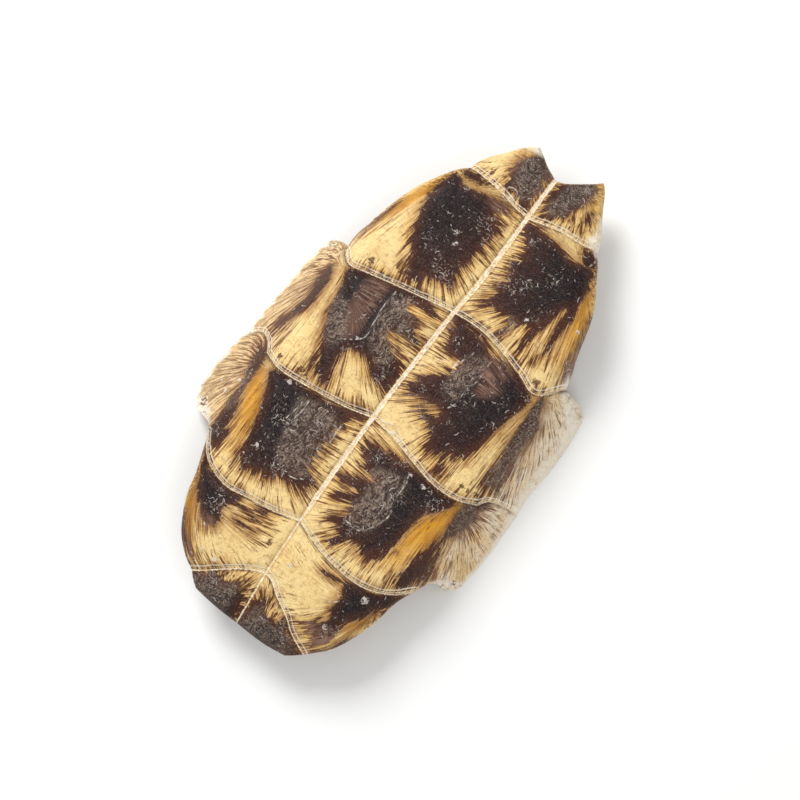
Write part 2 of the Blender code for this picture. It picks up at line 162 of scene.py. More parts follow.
DARK_PATCHES: tuple[Line, ...] = (
    # anal scutes
    ((-3, 94), (-6, 96), (-9, 98.5), (-11.5, 98), (-13.5, 95), (-15, 93), (-15.5, 86.5), (-14, 81),
     (-10.5, 80.5), (-7, 79), (-3.5, 77.5), (-2.5, 81), (-3.5, 87)),
    ((1.5, 94.5), (5, 97.5), (8.5, 100.5), (11, 102.5), (12.5, 100), (13, 95), (12.5, 90), (11.5, 86.5),
     (10, 83.5), (6.5, 81.5), (3.5, 80), (2, 81), (1, 85), (0.5, 90.5)),
    ((16.2, 90.5), (17.6, 91), (18.2, 87), (17.4, 84.5), (16.4, 86.5)),
    # femoral scutes
    ((-32.5, 73.5), (-29, 74), (-26, 72.5), (-22.5, 72.5), (-18.5, 73.5), (-14.5, 74.5), (-11, 75.5),
     (-6, 74), (-5.5, 72), (-10, 70.5), (-10.5, 68.5), (-8, 67), (-5.5, 65), (-6, 56.5), (-7.5, 48),
     (-7, 43), (-7.5, 38.5), (-12, 37), (-16.5, 36), (-18, 33), (-21.5, 32), (-25, 37), (-26, 40),
     (-28.5, 44.5), (-31.5, 54), (-33.5, 63.5), (-33, 69)),
    ((-28.5, 79), (-23.5, 78.5), (-19, 77.5), (-22.5, 75.5), (-28.5, 75.5)),
    ((1.5, 75), (9, 74.5), (16, 73.5), (21.5, 72.5), (25, 73.5), (30, 74.5), (31, 71), (32.5, 66),
     (32, 58.5), (29.5, 56.5), (26.5, 48.5), (24, 44.5), (19, 42), (16, 40.5), (12.5, 42), (8.5, 42),
     (5, 40), (6, 46), (6.5, 53.5), (4.5, 58), (6.5, 62.5), (4.5, 66.5), (2, 69)),
    ((22.5, 79.5), (26.5, 80.5), (29.5, 76.5), (26.5, 73.5), (24.5, 75.5)),
    ((25.5, 56), (29, 56), (28.5, 49), (27.2, 42), (26.2, 35.5), (24.6, 35.5), (25, 43), (25.2, 50)),
    ((31.2, 60), (32.8, 60), (33.6, 50), (33.4, 42), (32.6, 35), (31.8, 36), (32, 44), (31.6, 52)),
    ((18.5, 46), (21, 46), (19, 39), (17.5, 35), (16.2, 35), (17, 40)),
    ((39.5, 61), (41, 57), (43, 50), (45, 43.5), (46, 39), (45, 36.5), (43, 37.5), (42, 44), (40.5, 52)),
    ((-41.2, 54), (-42.4, 49), (-44.2, 43), (-45.6, 37), (-44.6, 37), (-43, 43.5), (-41.5, 49)),
    # abdominal scutes
    ((-40, 22.5), (-35, 25.5), (-28.5, 27.5), (-22.5, 28.5), (-16.5, 30.5), (-11.5, 31), (-5.5, 29),
     (-5, 27), (-12, 27), (-16.5, 24.5), (-13.5, 23), (-8, 21.5), (-7, 18.5), (-4, 17), (-4, 14.5),
     (-9, 14.5), (-13.5, 13.5), (-13.5, 11), (-10, 9), (-3.5, 7), (-2.5, 1.5), (-2.5, -4), (-6, -4),
     (-10.5, -3.5), (-14, 0), (-19, 0.5), (-22.5, -1), (-21.5, -9), (-21.5, -15.5), (-28.5, -14),
     (-30, -8), (-33.5, -0.5), (-36.5, 6.5), (-38.5, 16.5)),
    ((-49, 20), (-46.5, 21.5), (-43.5, 16.5), (-42.5, 8), (-43, 1.5), (-45.5, -2.5), (-47.5, -9.5),
     (-50, -8), (-48.5, 0), (-47, 8.5), (-48.5, 15.5)),
    ((0.5, 32.5), (7, 32.5), (14, 31), (19, 28), (25.5, 29.5), (30, 28), (38.5, 24.5), (39, 21),
     (37.5, 13), (36, 4.5), (34.5, -3), (33, -7.5), (31, -10.5), (29, -8.5), (26, -13), (20.5, -12),
     (18.5, -8), (15, -5), (10, -4), (11.5, -1), (17, -1.5), (16.5, 1.5), (10.5, 0.5), (5, -1),
     (2.5, -2), (3, 3.5), (5, 9), (8.5, 12.5), (11.5, 15.5), (11.5, 19.5), (5.5, 20.5), (3, 23.5),
     (1.5, 27.5)),
    ((28, -13.5), (30, -14), (30, -17.5), (28, -16.5)),
    ((41.5, 26.5), (43.5, 26), (44.5, 21.5), (47.5, 18.5), (47.5, 13), (47.5, 4), (48.5, -2.5),
     (49.5, -8), (46.5, -9.5), (44, -9), (43, -3), (42, 7), (41.5, 15.5)),
    # pectoral scutes
    ((-39.5, -23), (-35.5, -20.5), (-29, -20), (-22.5, -19.5), (-15, -18), (-9, -15.5), (-2.5, -15),
     (-2.5, -17), (-6.5, -19.5), (-7.5, -25), (-7, -32), (-8, -35.5), (-6.5, -41), (-3.5, -45),
     (-5.5, -50.5), (-11, -50.5), (-15.5, -52), (-19.5, -54), (-24.5, -55), (-28, -55.5),
     (-30.5, -51), (-32, -44), (-33, -37), (-35.5, -30.5), (-37.5, -26.5)),
    ((-52, -15), (-47.5, -16), (-44.5, -19.5), (-43.5, -27.5), (-43, -34.5), (-40, -41), (-38, -47.5),
     (-36.5, -52), (-38.5, -55.5), (-42.5, -55), (-45, -51.5), (-45, -42), (-45, -34.5),
     (-47, -28.5), (-48.5, -22)),
    ((2.5, -21.5), (9.5, -20.5), (18.5, -20.5), (25.5, -20), (33.5, -21), (40, -20), (39.5, -23),
     (36.5, -28), (33.5, -31.5), (32.5, -37.5), (32.5, -44.5), (31.5, -50), (29, -54),
     (24.5, -55.5), (21.5, -53), (18, -55.5), (12.5, -58), (13.5, -54), (9.5, -51), (11.5, -47.5),
     (11.5, -44), (5.5, -44.5), (5.5, -42), (10, -39.5), (3.5, -38.5), (3.5, -36.5), (8, -34),
     (12.5, -32), (7, -30.5), (6.5, -27.5), (3, -24.5)),
    ((42.5, -20.5), (44.5, -18), (47, -15), (49, -14), (48.5, -17.5), (48.5, -24.5), (46.5, -29),
     (45, -32), (45, -36), (46, -40.5), (47.5, -45.5), (47, -50), (45, -53), (43, -55.5),
     (39.5, -56.5), (39, -52), (40.5, -46.5), (41.5, -41), (43, -34.5), (43, -28)),
    # humeral scutes
    ((-38.5, -64), (-34, -63), (-29, -64), (-24.5, -64), (-19.5, -63.5), (-21, -68), (-23, -70.5),
     (-21.5, -73.5), (-21.5, -76.5), (-23.5, -79.5), (-26.5, -78), (-30, -75), (-33.5, -72),
     (-35.5, -68.5), (-37, -66)),
    ((-14, -65), (-14.5, -64), (-12, -62.5), (-9.5, -62.5), (-10.5, -64)),
    ((-18.5, -67), (-12.5, -66), (-7.5, -66.5), (-12.5, -67.5)),
    ((-18.5, -71), (-13, -70.5), (-9, -71.5), (-14.5, -72)),
    ((-34.5, -79), (-30.5, -82.5), (-26.5, -85.5), (-23.5, -88.5), (-21, -91), (-20, -93),
     (-25, -90.5), (-30, -86.5), (-33.5, -82.5)),
    ((-38.5, -64), (-40.5, -59.5), (-43.5, -55.5), (-42.5, -55.5), (-39, -59), (-36, -62.5)),
    ((26.5, -65), (31.5, -63.5), (37, -62), (41, -59.5), (44.5, -57), (45.5, -57), (44.5, -61.5),
     (41, -65.5), (39.5, -69), (37.5, -72.5), (35.5, -75), (34, -78.5), (33.5, -82.5),
     (32.5, -86.5), (30, -88), (26, -86.5), (24.5, -84.5), (26.5, -81), (28.5, -78), (27.5, -75),
     (28, -71.5), (26.5, -67.5)),
    ((40, -79.5), (38, -81), (35, -86), (30.5, -90.5), (32.5, -90), (37, -84.5), (39.5, -80.5)),
    ((18.5, -66.5), (25.5, -65.5), (25.5, -66.5), (19, -67)),
    # gular scutes
    ((-19, -93.5), (-14, -91.5), (-12.5, -88), (-10, -87.5), (-8.5, -90), (-5.5, -89.5), (-2, -85),
     (-1, -85), (-2, -88), (1.5, -89.5), (2.5, -100.5), (-7, -100.5), (-17, -100)),
    ((4.5, -90), (7, -85.5), (9, -86.5), (10, -90), (14.5, -90), (17.5, -88.5), (20.5, -88.5),
     (23, -91.5), (27.5, -93.5), (30, -94), (26, -98.5), (19.5, -101), (4, -101)),
)

BROWN_PATCHES: tuple[Line, ...] = (
    ((-31, 26), (-25, 26.5), (-24, 14.5), (-23, 7.5), (-26, 2), (-30, 7.5), (-32, 16.5)),
    ((19, 27.5), (27.5, 28), (28, 23.5), (25.5, 21.5), (29.5, 19.5), (26.5, 15), (22.5, 14), (21, 19.5),
     (19.5, 23)),
    ((-28.5, -77), (-23.5, -75.5), (-20, -81.5), (-18, -87), (-17, -90.5), (-21.5, -92), (-26.5, -88.5),
     (-31.5, -83), (-28.5, -81)),
    ((22.5, -84.5), (26.5, -82.5), (34, -82), (36, -84), (33.5, -88.5), (30, -92), (26, -91.5),
     (22, -88.5)),
    ((12.5, 103), (14, 101.5), (14.5, 94.5), (14, 85.5), (12.5, 85), (12.5, 95)),
    ((-3.5, 95), (-1.5, 94.5), (-1, 81), (-3, 80)),
    ((-17.5, 93.5), (-15, 94), (-14.5, 85.5), (-16.5, 86.5)),
    ((-14.5, 74), (-2.5, 74.5), (-2.5, 71), (-14.5, 72)),
    ((38.5, 62), (42, 58), (47, 42), (47, 35), (42, 36), (40.5, 50)),
)

AMBER_PATCHES: tuple[Line, ...] = (
    ((11.5, 103), (13, 105.5), (16.5, 101.5), (19.5, 96), (20.5, 93), (17.5, 92), (15, 94), (14, 99.5)),
    ((-33, 72.5), (-35.5, 72), (-38.5, 67.5), (-40.5, 61), (-43, 54), (-45, 44), (-42, 43), (-37.5, 52),
     (-34, 61.5)),
    ((31.5, 75), (34, 73), (36.5, 68.5), (38.5, 64), (40, 58.5), (41.5, 48), (41.5, 39), (37, 38.5),
     (35.5, 47), (33.8, 58.5), (32.8, 65.5)),
    ((-43.5, -23.5), (-41.5, -23.5), (-39, -27), (-36, -31.5), (-33.5, -36), (-32.5, -42.5),
     (-31.5, -48.5), (-30.5, -55), (-35, -55), (-36.5, -49.5), (-38.5, -43), (-40.5, -37), (-43, -31)),
    ((39.5, -20.5), (42.5, -21.5), (43, -28), (43, -34), (41.5, -39.5), (39.5, -45), (38, -52),
     (37, -55.5), (33.5, -55.5), (32, -52), (33, -44.5), (33.5, -37.5), (34.5, -32), (37.5, -27.5),
     (40, -23)),
    ((-39, -66), (-37.5, -66), (-35.5, -70.5), (-32.5, -73.5), (-30, -77), (-28, -80), (-25, -84.5),
     (-23, -87), (-26.5, -86.5), (-30.5, -83), (-35, -79.5), (-37.5, -73.5), (-39, -68.5)),
    ((43.5, -65), (42.5, -70.5), (41, -75), (39, -78.5), (37, -81), (35.5, -79.5), (35, -76.5),
     (37, -73.5), (39, -71), (40.5, -67), (41.5, -64)),
    ((-17.5, 25), (-6.5, 26), (-3.5, 25.5), (-8.5, 23.5), (-15, 23.5)),
    ((11.5, 0.5), (15, 1), (15.5, -1), (13, -2)),
)

HAZE_PATCHES: tuple[Line, ...] = (
    ((-37.5, 12.5), (-32.5, 12.5), (-27.5, 6.5), (-26, -0.5), (-30, -3.5), (-33.5, -0.5), (-36.5, 6.5)),
    ((41, 24.5), (44, 25.5), (47.5, 19), (48.5, 11.5), (48.5, 1), (49.5, -8), (43, -8.5), (42, 3.5)),
    ((42, -20.5), (44.5, -17.5), (48, -15), (49, -16.5), (49, -25.5), (46.5, -29.5), (44, -31)),
    ((-47.5, -28.5), (-44.5, -27.5), (-43, -34.5), (-42.5, -41), (-45, -41.5), (-46, -34.5)),
    ((39.5, 59.5), (41.5, 55), (44.5, 46.5), (46.5, 39.5), (45.5, 35), (42, 35), (41.5, 46), (40, 55)),
    ((10, -29.5), (22, -24.5), (22.5, -34), (24, -39), (21.5, -47.5), (14.5, -48.5), (11.5, -44),
     (13.5, -36.5)),
    ((-24, -23.5), (-8, -23), (-7, -32), (-6.5, -45), (-17.5, -46.5), (-20.5, -42), (-23, -33.5)),
    ((16, 42.5), (20.5, 41.5), (19.5, 35), (16, 35)),
    ((9.5, -3), (14, -3), (16.5, -7), (11.5, -8)),
    ((-20.5, 24), (-19.5, 8), (-14, 3), (-9, 2), (-8, 15), (-13, 25)),
    ((20, 24), (18.5, 8), (13, 8), (12, 16), (14, 24)),
    ((-17, -97.5), (-2, -98), (-3, -88), (-8, -91), (-13, -91)),
    ((6, -98), (24, -97.5), (21, -91), (13, -91.5), (8, -88)),
    ((-13, 95), (-13, 84), (-6, 80), (-4, 93), (-8, 97)),
    ((3, 82), (9, 84), (12, 98), (5, 96)),
)

BARE_PATCHES: tuple[Line, ...] = (
    ((-19, 97), (-16, 98), (-12.5, 98), (-10, 99), (-11, 102.5), (-15.5, 102.5)),
    ((20, 93), (24.5, 90), (30, 80), (28, 79.5), (25, 81), (21, 82.5), (22, 86.5)),
    ((44.5, 40), (45.5, 35), (46.5, 32.5), (49, 30.5), (51.5, 29), (54.5, 26.5), (55.5, 22), (57, 18),
     (56, 13), (55.5, 4.5), (56, -2.5), (57, -8), (58, -18), (58.5, -27), (59, -34.5), (61.5, -33),
     (62, 36), (54.5, 39.5), (46.5, 39)),
    ((-62.5, -43), (-57.5, -43), (-53.5, -44), (-50.5, -45.5), (-47.5, -48), (-46, -50.5),
     (-50.5, -51.5), (-60.5, -49.5)),
    ((49, -48.5), (51, -45), (54, -43), (56.5, -41), (60, -41), (59.5, -47.5), (50.5, -48.5)),
    ((-50.5, 33.5), (-54.5, 31.5), (-56.5, 27.5), (-57.5, 22), (-58, 16), (-58.5, 6.5), (-59, -1),
     (-61.5, -0.5), (-63, 36), (-55, 37)),
    ((-59, -15), (-60.5, -20.5), (-61, -30), (-60, -37.5), (-59, -43), (-63.5, -42.5), (-64.5, -14)),
)

FLAKES: tuple[Line, ...] = (
    ((-24, -23), (-15, -21.5), (-7.5, -23), (-7, -32), (-5.5, -37.5), (-6.5, -46), (-12.5, -47.5),
     (-17.5, -46.5), (-20.5, -42.5), (-22, -37.5), (-20.5, -33.5), (-24, -33)),
    ((22, -24), (22.5, -34), (24.5, -37.5), (23.5, -42.5), (21.5, -47.5), (18, -49), (13, -48.5),
     (11.5, -44.5), (13, -39), (11.5, -33.5), (10, -29.5), (13, -25)),
    ((-21.5, 26.5), (-21, 14.5), (-20.5, 7.5), (-19, 2), (-14, 1.5), (-14, 21.5), (-15.5, 28)),
    ((20.5, 26), (20.5, 17.5), (19.5, 7), (17, 3.5), (12.5, 7.5), (11.5, 15.5), (11.5, 19.5), (14, 25.5)),
    ((-13, 79), (-12.3, 81), (-10.5, 81.6), (-8.7, 81), (-8.2, 79), (-9, 77.2), (-10.8, 76.6), (-12.5, 77.3)),
    ((-30.5, -64.5), (-20, -65), (-21, -68), (-23, -70.5), (-21.5, -73), (-28.5, -72.5)),
    ((35.5, -64), (26, -65.5), (25.5, -67.5), (28, -71.5), (26.5, -73.5), (33.5, -73)),
)

FLAKE_EDGES: tuple[Line, ...] = (
    ((-7.5, -22.5), (-7.5, -27), (-7, -32)),
    ((-24.5, -33), (-23.5, -28), (-22.5, -23.5), (-21.5, -24.5), (-21.5, -29.5), (-20.5, -33),
     (-22.5, -34)),
    ((-6.5, -46), (-10, -48), (-14, -47.5), (-17.5, -47), (-20.5, -42)),
    ((21, -22.5), (22.5, -26.5), (22.5, -34), (24.5, -37), (24.5, -39), (23.5, -42.5), (21.5, -46.5),
     (18.5, -49), (13.5, -48.5)),
    ((-21.5, 26), (-21.5, 18), (-20.5, 11), (-20, 6.5), (-22.5, 3.5), (-25.5, 1.5)),
    ((-23, 5), (-19.5, 4.5), (-18, 1.5)),
    ((20.5, 26), (20.5, 17.5), (19.5, 13), (19.5, 7), (18, 3.5)),
    ((11, 19.5), (11, 16), (12.5, 14.5)),
    ((12.5, 21), (11.5, 17.5)),
    ((-18.5, -68), (-21, -68.5), (-22.5, -70.5), (-21.5, -73), (-18.5, -73.5)),
    ((25.5, -67.5), (26.5, -70), (28.5, -71.5), (26.5, -73.5), (22.5, -74.5)),
    ((-13, 79), (-12.3, 81), (-10.5, 81.6), (-8.7, 81), (-8.2, 79), (-9, 77.2), (-10.8, 76.6), (-12.5, 77.3),
     (-13, 79)),
    ((2.5, -13.5), (7.5, -12), (10, -13.5), (13, -15.5)),
    ((-41.5, 58.5), (-44, 48), (-45.5, 40)),
    ((21.5, 80), (25, 81), (28, 78), (27.5, 75)),
)

# Growth centre of each scute band, as shares of the way from the midline to the rim and from the
# front seam to the rear one
AREOLAE: tuple[tuple[float, float], ...] = (
    (0.5, 0.06), (0.86, 0.92), (0.87, 0.93), (0.87, 0.94), (0.84, 0.86), (0.55, 0.9),
)

# Small marks as X, Y and radius: pale chips, brown spots and the broken corners of the bridge walls
PALE_SPOTS: tuple[Spot, ...] = (
    (-31.5, -21.9, 1.0), (-26.9, -46.3, 0.9), (-28.6, -51.1, 0.7), (27.8, -23.2, 1.0), (21.9, -22.8, 0.7),
    (-47.1, -31.4, 0.9), (-53.7, -34.7, 0.7), (-49.3, -36.9, 1.0), (-14.6, -86.2, 1.0), (-20.5, -85.9, 1.0),
    (-24.5, -79.1, 0.9), (7.5, -72.2, 0.9), (35.2, -66.2, 1.4), (30.1, -81.8, 1.0), (8.0, -14.7, 1.1),
    (10.8, -15.8, 1.0), (52.5, -43.7, 1.7), (54.6, -43.5, 1.4), (-50.0, -47.1, 1.7), (-52.5, -45.8, 1.4),
    (38.2, 52.9, 0.9), (-9.8, 78.3, 0.6), (21.5, 45.0, 0.9), (-17.0, 56.0, 1.2), (-15.0, 52.5, 1.0),
)
BROWN_SPOTS: tuple[Spot, ...] = (
    (-33.8, 61.9, 0.9), (-35.2, 29.9, 1.4), (-23.8, 33.3, 1.4), (37.1, 29.7, 1.4), (-1.4, 18.5, 0.9),
    (-30.9, -16.0, 1.4), (-28.4, -16.7, 1.0), (38.1, -14.9, 1.0), (40.5, -15.2, 1.0), (43.8, -14.2, 1.0),
    (-2.8, -70.2, 1.2), (-39.9, -16.5, 1.0), (-19.2, 31.5, 1.0), (26.7, 31.5, 1.0), (17.9, 34.5, 1.0),
    (-6.8, 33.9, 1.0), (53.9, -44.3, 1.0), (56.3, -42.0, 0.9), (-54.9, -44.6, 1.7),
)
BROKEN_SPOTS: tuple[Spot, ...] = (
    (53.9, -43.9, 2.4), (56.6, -41.8, 1.8), (-54.6, -44.8, 2.4), (-50.5, -46.6, 1.6), (54.5, 33.6, 2.4),
    (50.5, 34.6, 1.8), (-54.8, 30.2, 1.8), (56.6, 4.0, 1.3), (-60.0, -38.0, 1.3),
)

WALL_CRACK: Line = ((55.5, 12), (56.5, 6), (56.2, 0), (57.2, -6))

# Sutures between the bone plates, which show on the inner face
SUTURES: tuple[Line, ...] = (
    ((3, -66), (1, -50), (0, -30), (-1, 0), (-1, 30), (0, 60), (-1, 96)),
    ((-1, 4), (-16, 3), (-32, 6), (-46, 7), (-60, 6)),
    ((-1, 4), (15, 5), (30, 3), (46, 6), (60, 5)),
    ((0, 47), (-15, 45), (-30, 42), (-50, 40)),
    ((0, 47), (14, 46), (30, 44), (48, 43)),
    ((4, -100), (3, -88)),
    ((3, -88), (-9, -82), (-15, -73), (-8, -64), (2, -60), (12, -64), (18, -73), (13, -82), (3, -88)),
    ((-15, -73), (-28, -70), (-42, -66)),
    ((18, -73), (31, -70), (46, -66)),
)


# Plane geometry


def smooth_curve(points: Line, steps: int = 16, closed: bool = False) -> Array:
    """A smooth curve through the points, as a dense polyline.

    Args:
        points: the points that it passes.
        steps: chords between two of them.
        closed: whether it returns to its first point.

    Returns:
        Its points, one row each.
    """
    knots = np.array(points, dtype=float)
    if closed:
        knots = np.vstack([knots[-1:], knots, knots[:2]])
    else:
        knots = np.vstack([2.0 * knots[0] - knots[1], knots, 2.0 * knots[-1] - knots[-2]])
    t = np.linspace(0.0, 1.0, steps, endpoint=False)[:, None]
    spans = []
    for a, b, c, d in zip(knots, knots[1:], knots[2:], knots[3:]):
        bend = (2.0 * a - 5.0 * b + 4.0 * c - d) * t**2 + (3.0 * b - a - 3.0 * c + d) * t**3
        spans.append(0.5 * (2.0 * b + (c - a) * t + bend))
    return np.vstack([*spans, knots[-2:-1]])


def at_shares(curve: Array, shares: Array) -> Array:
    """Points of a curve.

    Args:
        curve: a polyline.
        shares: shares of its length.

    Returns:
        The point at each share.
    """
    length = np.concatenate([[0.0], np.cumsum(np.linalg.norm(np.diff(curve, axis=0), axis=1))])
    length /= length[-1]
    return np.column_stack([np.interp(shares, length, curve[:, k]) for k in range(2)])


def patch(front: Array, rear: Array, inner: Array, outer: Array, across: Array, along: Array) -> Array:
    """A Coons patch between four curves.

    Args:
        front: curve under the first row.
        rear: curve under the last row.
        inner: curve at the start of the rows.
        outer: curve at their end.
        across: shares of the columns.
        along: shares of the rows.

    Returns:
        Its points, rows by columns by two.
    """
    front, rear = at_shares(front, across)[None], at_shares(rear, across)[None]
    inner, outer = at_shares(inner, along)[:, None], at_shares(outer, along)[:, None]
    u, v = across[None, :, None], along[:, None, None]
    ruled = (1.0 - v) * front + v * rear + (1.0 - u) * inner + u * outer
    corners = (1.0 - v) * ((1.0 - u) * front[:, :1] + u * front[:, -1:])
    corners = corners + v * ((1.0 - u) * rear[:, :1] + u * rear[:, -1:])
    return ruled - corners


def distance(points: Array, curve: Array, chunk: int = 4096) -> Array:
    """Distance of points from a polyline.

    Args:
        points: any shape, with X and Y last.
        curve: the polyline.
        chunk: points that are worked on at once.

    Returns:
        The distances, in the shape of the points.
    """
    start, run = curve[:-1], np.diff(curve, axis=0)
    square = np.maximum((run**2).sum(-1), 1e-9)
    flat = points.reshape(-1, 1, 2)
    result = np.empty(len(flat))
    for first in range(0, len(flat), chunk):
        block = flat[first:first + chunk]
        share = np.clip(((block - start) * run).sum(-1) / square, 0.0, 1.0)
        gap = block - start - share[..., None] * run
        result[first:first + chunk] = np.sqrt((gap**2).sum(-1).min(axis=1))
    return result.reshape(points.shape[:-1])


def inside(points: Array, outline: Array) -> Array:
    """Whether points lie in a closed outline, by counting the crossings of a line to +X.

    Args:
        points: one row each.
        outline: a closed polyline.

    Returns:
        True for each point inside.
    """
    x, y = points[:, :1], points[:, 1:]
    x0, y0, x1, y1 = *outline[:-1].T, *outline[1:].T
    rise = np.where(y1 == y0, 1e-9, y1 - y0)
    crosses = ((y0 > y) != (y1 > y)) & (x < x0 + (y - y0) / rise * (x1 - x0))
    return crosses.sum(axis=1) % 2 == 1


def smooth_step(value: Array, low: float, high: float) -> Array:
    """0 below low, 1 above high, and a smooth rise between."""
    t = np.clip((value - low) / (high - low), 0.0, 1.0)
    return t * t * (3.0 - 2.0 * t)


def depth_in(points: Array, outlines: tuple[Line, ...], reach: float = 9.0) -> Array:
    """How deep points lie inside the nearest of several outlines.

    Args:
        points: one row each.
        outlines: closed outlines, through whose points smooth curves are drawn.
        reach: the depth at which the measure stops, on both sides of a line.

    Returns:
        The depth, below zero outside.
    """
    depth = np.full(len(points), -reach)
    for outline in outlines:
        curve = smooth_curve(outline, 5, closed=True)
        near = ((points > curve.min(axis=0) - reach) & (points < curve.max(axis=0) + reach)).all(axis=1)
        here = points[near]
        signed = distance(here, curve) * np.where(inside(here, curve), 1.0, -1.0)
        depth[near] = np.maximum(depth[near], signed)
    return np.clip(depth, -reach, reach)


def in_spots(points: Array, spots: tuple[Spot, ...]) -> Array:
    """How much points lie in small round spots.

    Args:
        points: one row each.
        spots: X, Y and radius of each spot.

    Returns:
        1 at the middle of a spot, fading to 0 outside.
    """
    share = np.zeros(len(points))
    for x, y, radius in spots:
        gap = np.hypot(points[:, 0] - x, points[:, 1] - y) / radius
        share = np.maximum(share, np.exp(-(gap**2)))
    return share


def lattice_noise(points: Array, size: float, seed: int) -> Array:
    """Smooth noise between -1 and 1.

    Args:
        points: one row each, of two or three coordinates.
        size: spacing of its cells.
        seed: which noise.

    Returns:
        Its value at each point.
    """
    scaled = points / size
    cell = np.floor(scaled).astype(np.int64)
    share = scaled - cell
    share = share * share * (3.0 - 2.0 * share)
    factors = np.array([73856093, 19349663, 83492791])[: points.shape[1]]
    total = np.zeros(len(points))
    for corner in np.ndindex(*(2,) * points.shape[1]):
        step = np.array(corner)
        mixed = ((cell + step) * factors).sum(axis=1) + seed * 2654435761
        mixed = (mixed ^ (mixed >> 13)) * 1274126177 & 0x7FFFFFFF
        mixed = (mixed ^ (mixed >> 16)) * 668265263 & 0x7FFFFFFF
        weight = np.prod(np.where(step == 1, share, 1.0 - share), axis=1)
        total += weight * (mixed / 0x3FFFFFFF - 1.0)
    return total


# The shell


@dataclass
class ShellForm:
    """Heights and thicknesses of the shell over its plan, in millimetres, as in the CAD solid."""

    plate_height: float = 23.0
    ridge_x: float = 42.0
    ridge_softness: float = 0.22
    throat_bend: tuple[float, float, float] = (5.0, -40.0, 60.0)
    tail_bend: tuple[float, float, float] = (3.0, 45.0, 55.0)
    dish: tuple[float, float, float] = (1.0, 22.0, 45.0)
    margin_droop: float = 2.6
    margin_width: float = 13.0
    front_lobe: tuple[float, float] = (-42.0, -58.0)
    rear_lobe: tuple[float, float] = (28.0, 42.0)
    pillow: float = 0.9
    pillow_width: float = 7.0
    seam_depth: float = 0.7
    seam_width: float = 1.5
    rim_step: float = 0.9
    rear_rim_share: float = 0.4
    rim_width: float = 4.0
    plate_thickness: float = 3.8
    lip_thickness: float = 6.4
    lip_width: float = 14.0
    throat_thickening: float = 1.6
    wall_thickness: float = 4.2
    buttress_thickening: float = 1.4
    buttress_width: float = 6.0
    lobe_rim_radius: float = 2.4
    wall_rim_radius: float = 1.0
    centre: tuple[float, float] = (-0.45, 2.95)
    cut: dict[Side, Array] = field(default_factory=dict)

    def __post_init__(self) -> None:
        """Draws the sawn edges."""
        for side, half in OUTLINES.items():
            self.cut[side] = np.vstack([smooth_curve(edge) for edge in half.cut_edges])

    def lobe_share(self, y: Array) -> Array:
        """1 on the two free lobes, 0 between the bridge walls."""
        front = smooth_step(-y, -self.front_lobe[0], -self.front_lobe[1])
        return front + smooth_step(y, *self.rear_lobe)

    def wall_share(self, x: Array, y: Array) -> Array:
        """0 on the ridge above a bridge wall, 1 on its sawn edge."""
        left, right = self.cut[Side.LEFT], self.cut[Side.RIGHT]
        reach = np.where(
            x < 0.0, -np.interp(y, left[:, 1], left[:, 0]), np.interp(y, right[:, 1], right[:, 0])
        )
        return (np.abs(x) - self.ridge_x) / (reach - self.ridge_x)

    def ridge_turn(self, share: Array | float) -> Array | float:
        """How far the face has turned down: 0 on the plate, then a steady slope to 1 at the cut."""

        def soft(t: Array | float) -> Array | float:
            """A ramp with a soft start."""
            return 0.5 * (t + np.sqrt(t * t + self.ridge_softness**2))

        return soft(share) / soft(1.0)

    def base_height(self, x: Array, y: Array) -> Array:
        """Height of the outer face without relief."""
        throat, tail, dish = self.throat_bend, self.tail_bend, self.dish
        plate = self.plate_height - throat[0] * np.maximum(0.0, (throat[1] - y) / throat[2]) ** 2
        plate = plate - tail[0] * np.maximum(0.0, (y - tail[1]) / tail[2]) ** 2
        plate = plate - dish[0] * np.exp(-((x / dish[1]) ** 2) - (y / dish[2]) ** 2)
        return plate * (1.0 - self.ridge_turn(self.wall_share(x, y)))

    def normal(self, x: Array, y: Array, step: float = 0.5) -> Array:
        """Unit normal of the outer face without relief."""
        slope_x = (self.base_height(x + step, y) - self.base_height(x - step, y)) / (2.0 * step)
        slope_y = (self.base_height(x, y + step) - self.base_height(x, y - step)) / (2.0 * step)
        normal = np.stack([-slope_x, -slope_y, np.ones_like(x)], axis=-1)
        return normal / np.linalg.norm(normal, axis=-1, keepdims=True)

    def scute_relief(self, near: Array, front: Array, rear: Array) -> Array:
        """Pillow of a scute, groove of its seams and raised front rim.

        Args:
            near: distance from the nearest seam.
            front: distance from the seam in front.
            rear: distance from the seam behind.

        Returns:
            The height above the plain face.
        """
        off_seam = 1.0 - np.exp(-((near / self.seam_width) ** 2))
        height = self.pillow * (1.0 - np.exp(-((near / self.pillow_width) ** 2)))
        rims = np.exp(-front / self.rim_width) - self.rear_rim_share * np.exp(-rear / self.rim_width)
        return height - self.seam_depth * (1.0 - off_seam) + self.rim_step * off_seam * rims

    def faces(self, points: Array, heights: Array, fine: Array, rim: Array, throat: Array) -> tuple[Array,
                                                                                                    Array]:
        """The outer and the inner face over the plan.

        Args:
            points: plan points, one row each.
            heights: relief that fades out on the bridge walls.
            fine: relief that stands off the face everywhere.
            rim: distance from the free rims.
            throat: distance from the front edge.

        Returns:
            Points of the outer and of the inner face.
        """
        x, y = points[:, 0], points[:, 1]
        wall = smooth_step(self.wall_share(x, y), 0.0, 1.0)
        lobe = self.lobe_share(y)
        droop = self.margin_droop * lobe * np.maximum(0.0, 1.0 - rim / self.margin_width) ** 2
        radius = self.wall_rim_radius + (self.lobe_rim_radius - self.wall_rim_radius) * lobe
        inset = np.minimum(rim, radius)
        rounding = (radius - np.sqrt(inset * (2.0 * radius - inset))) * (1.0 - wall)

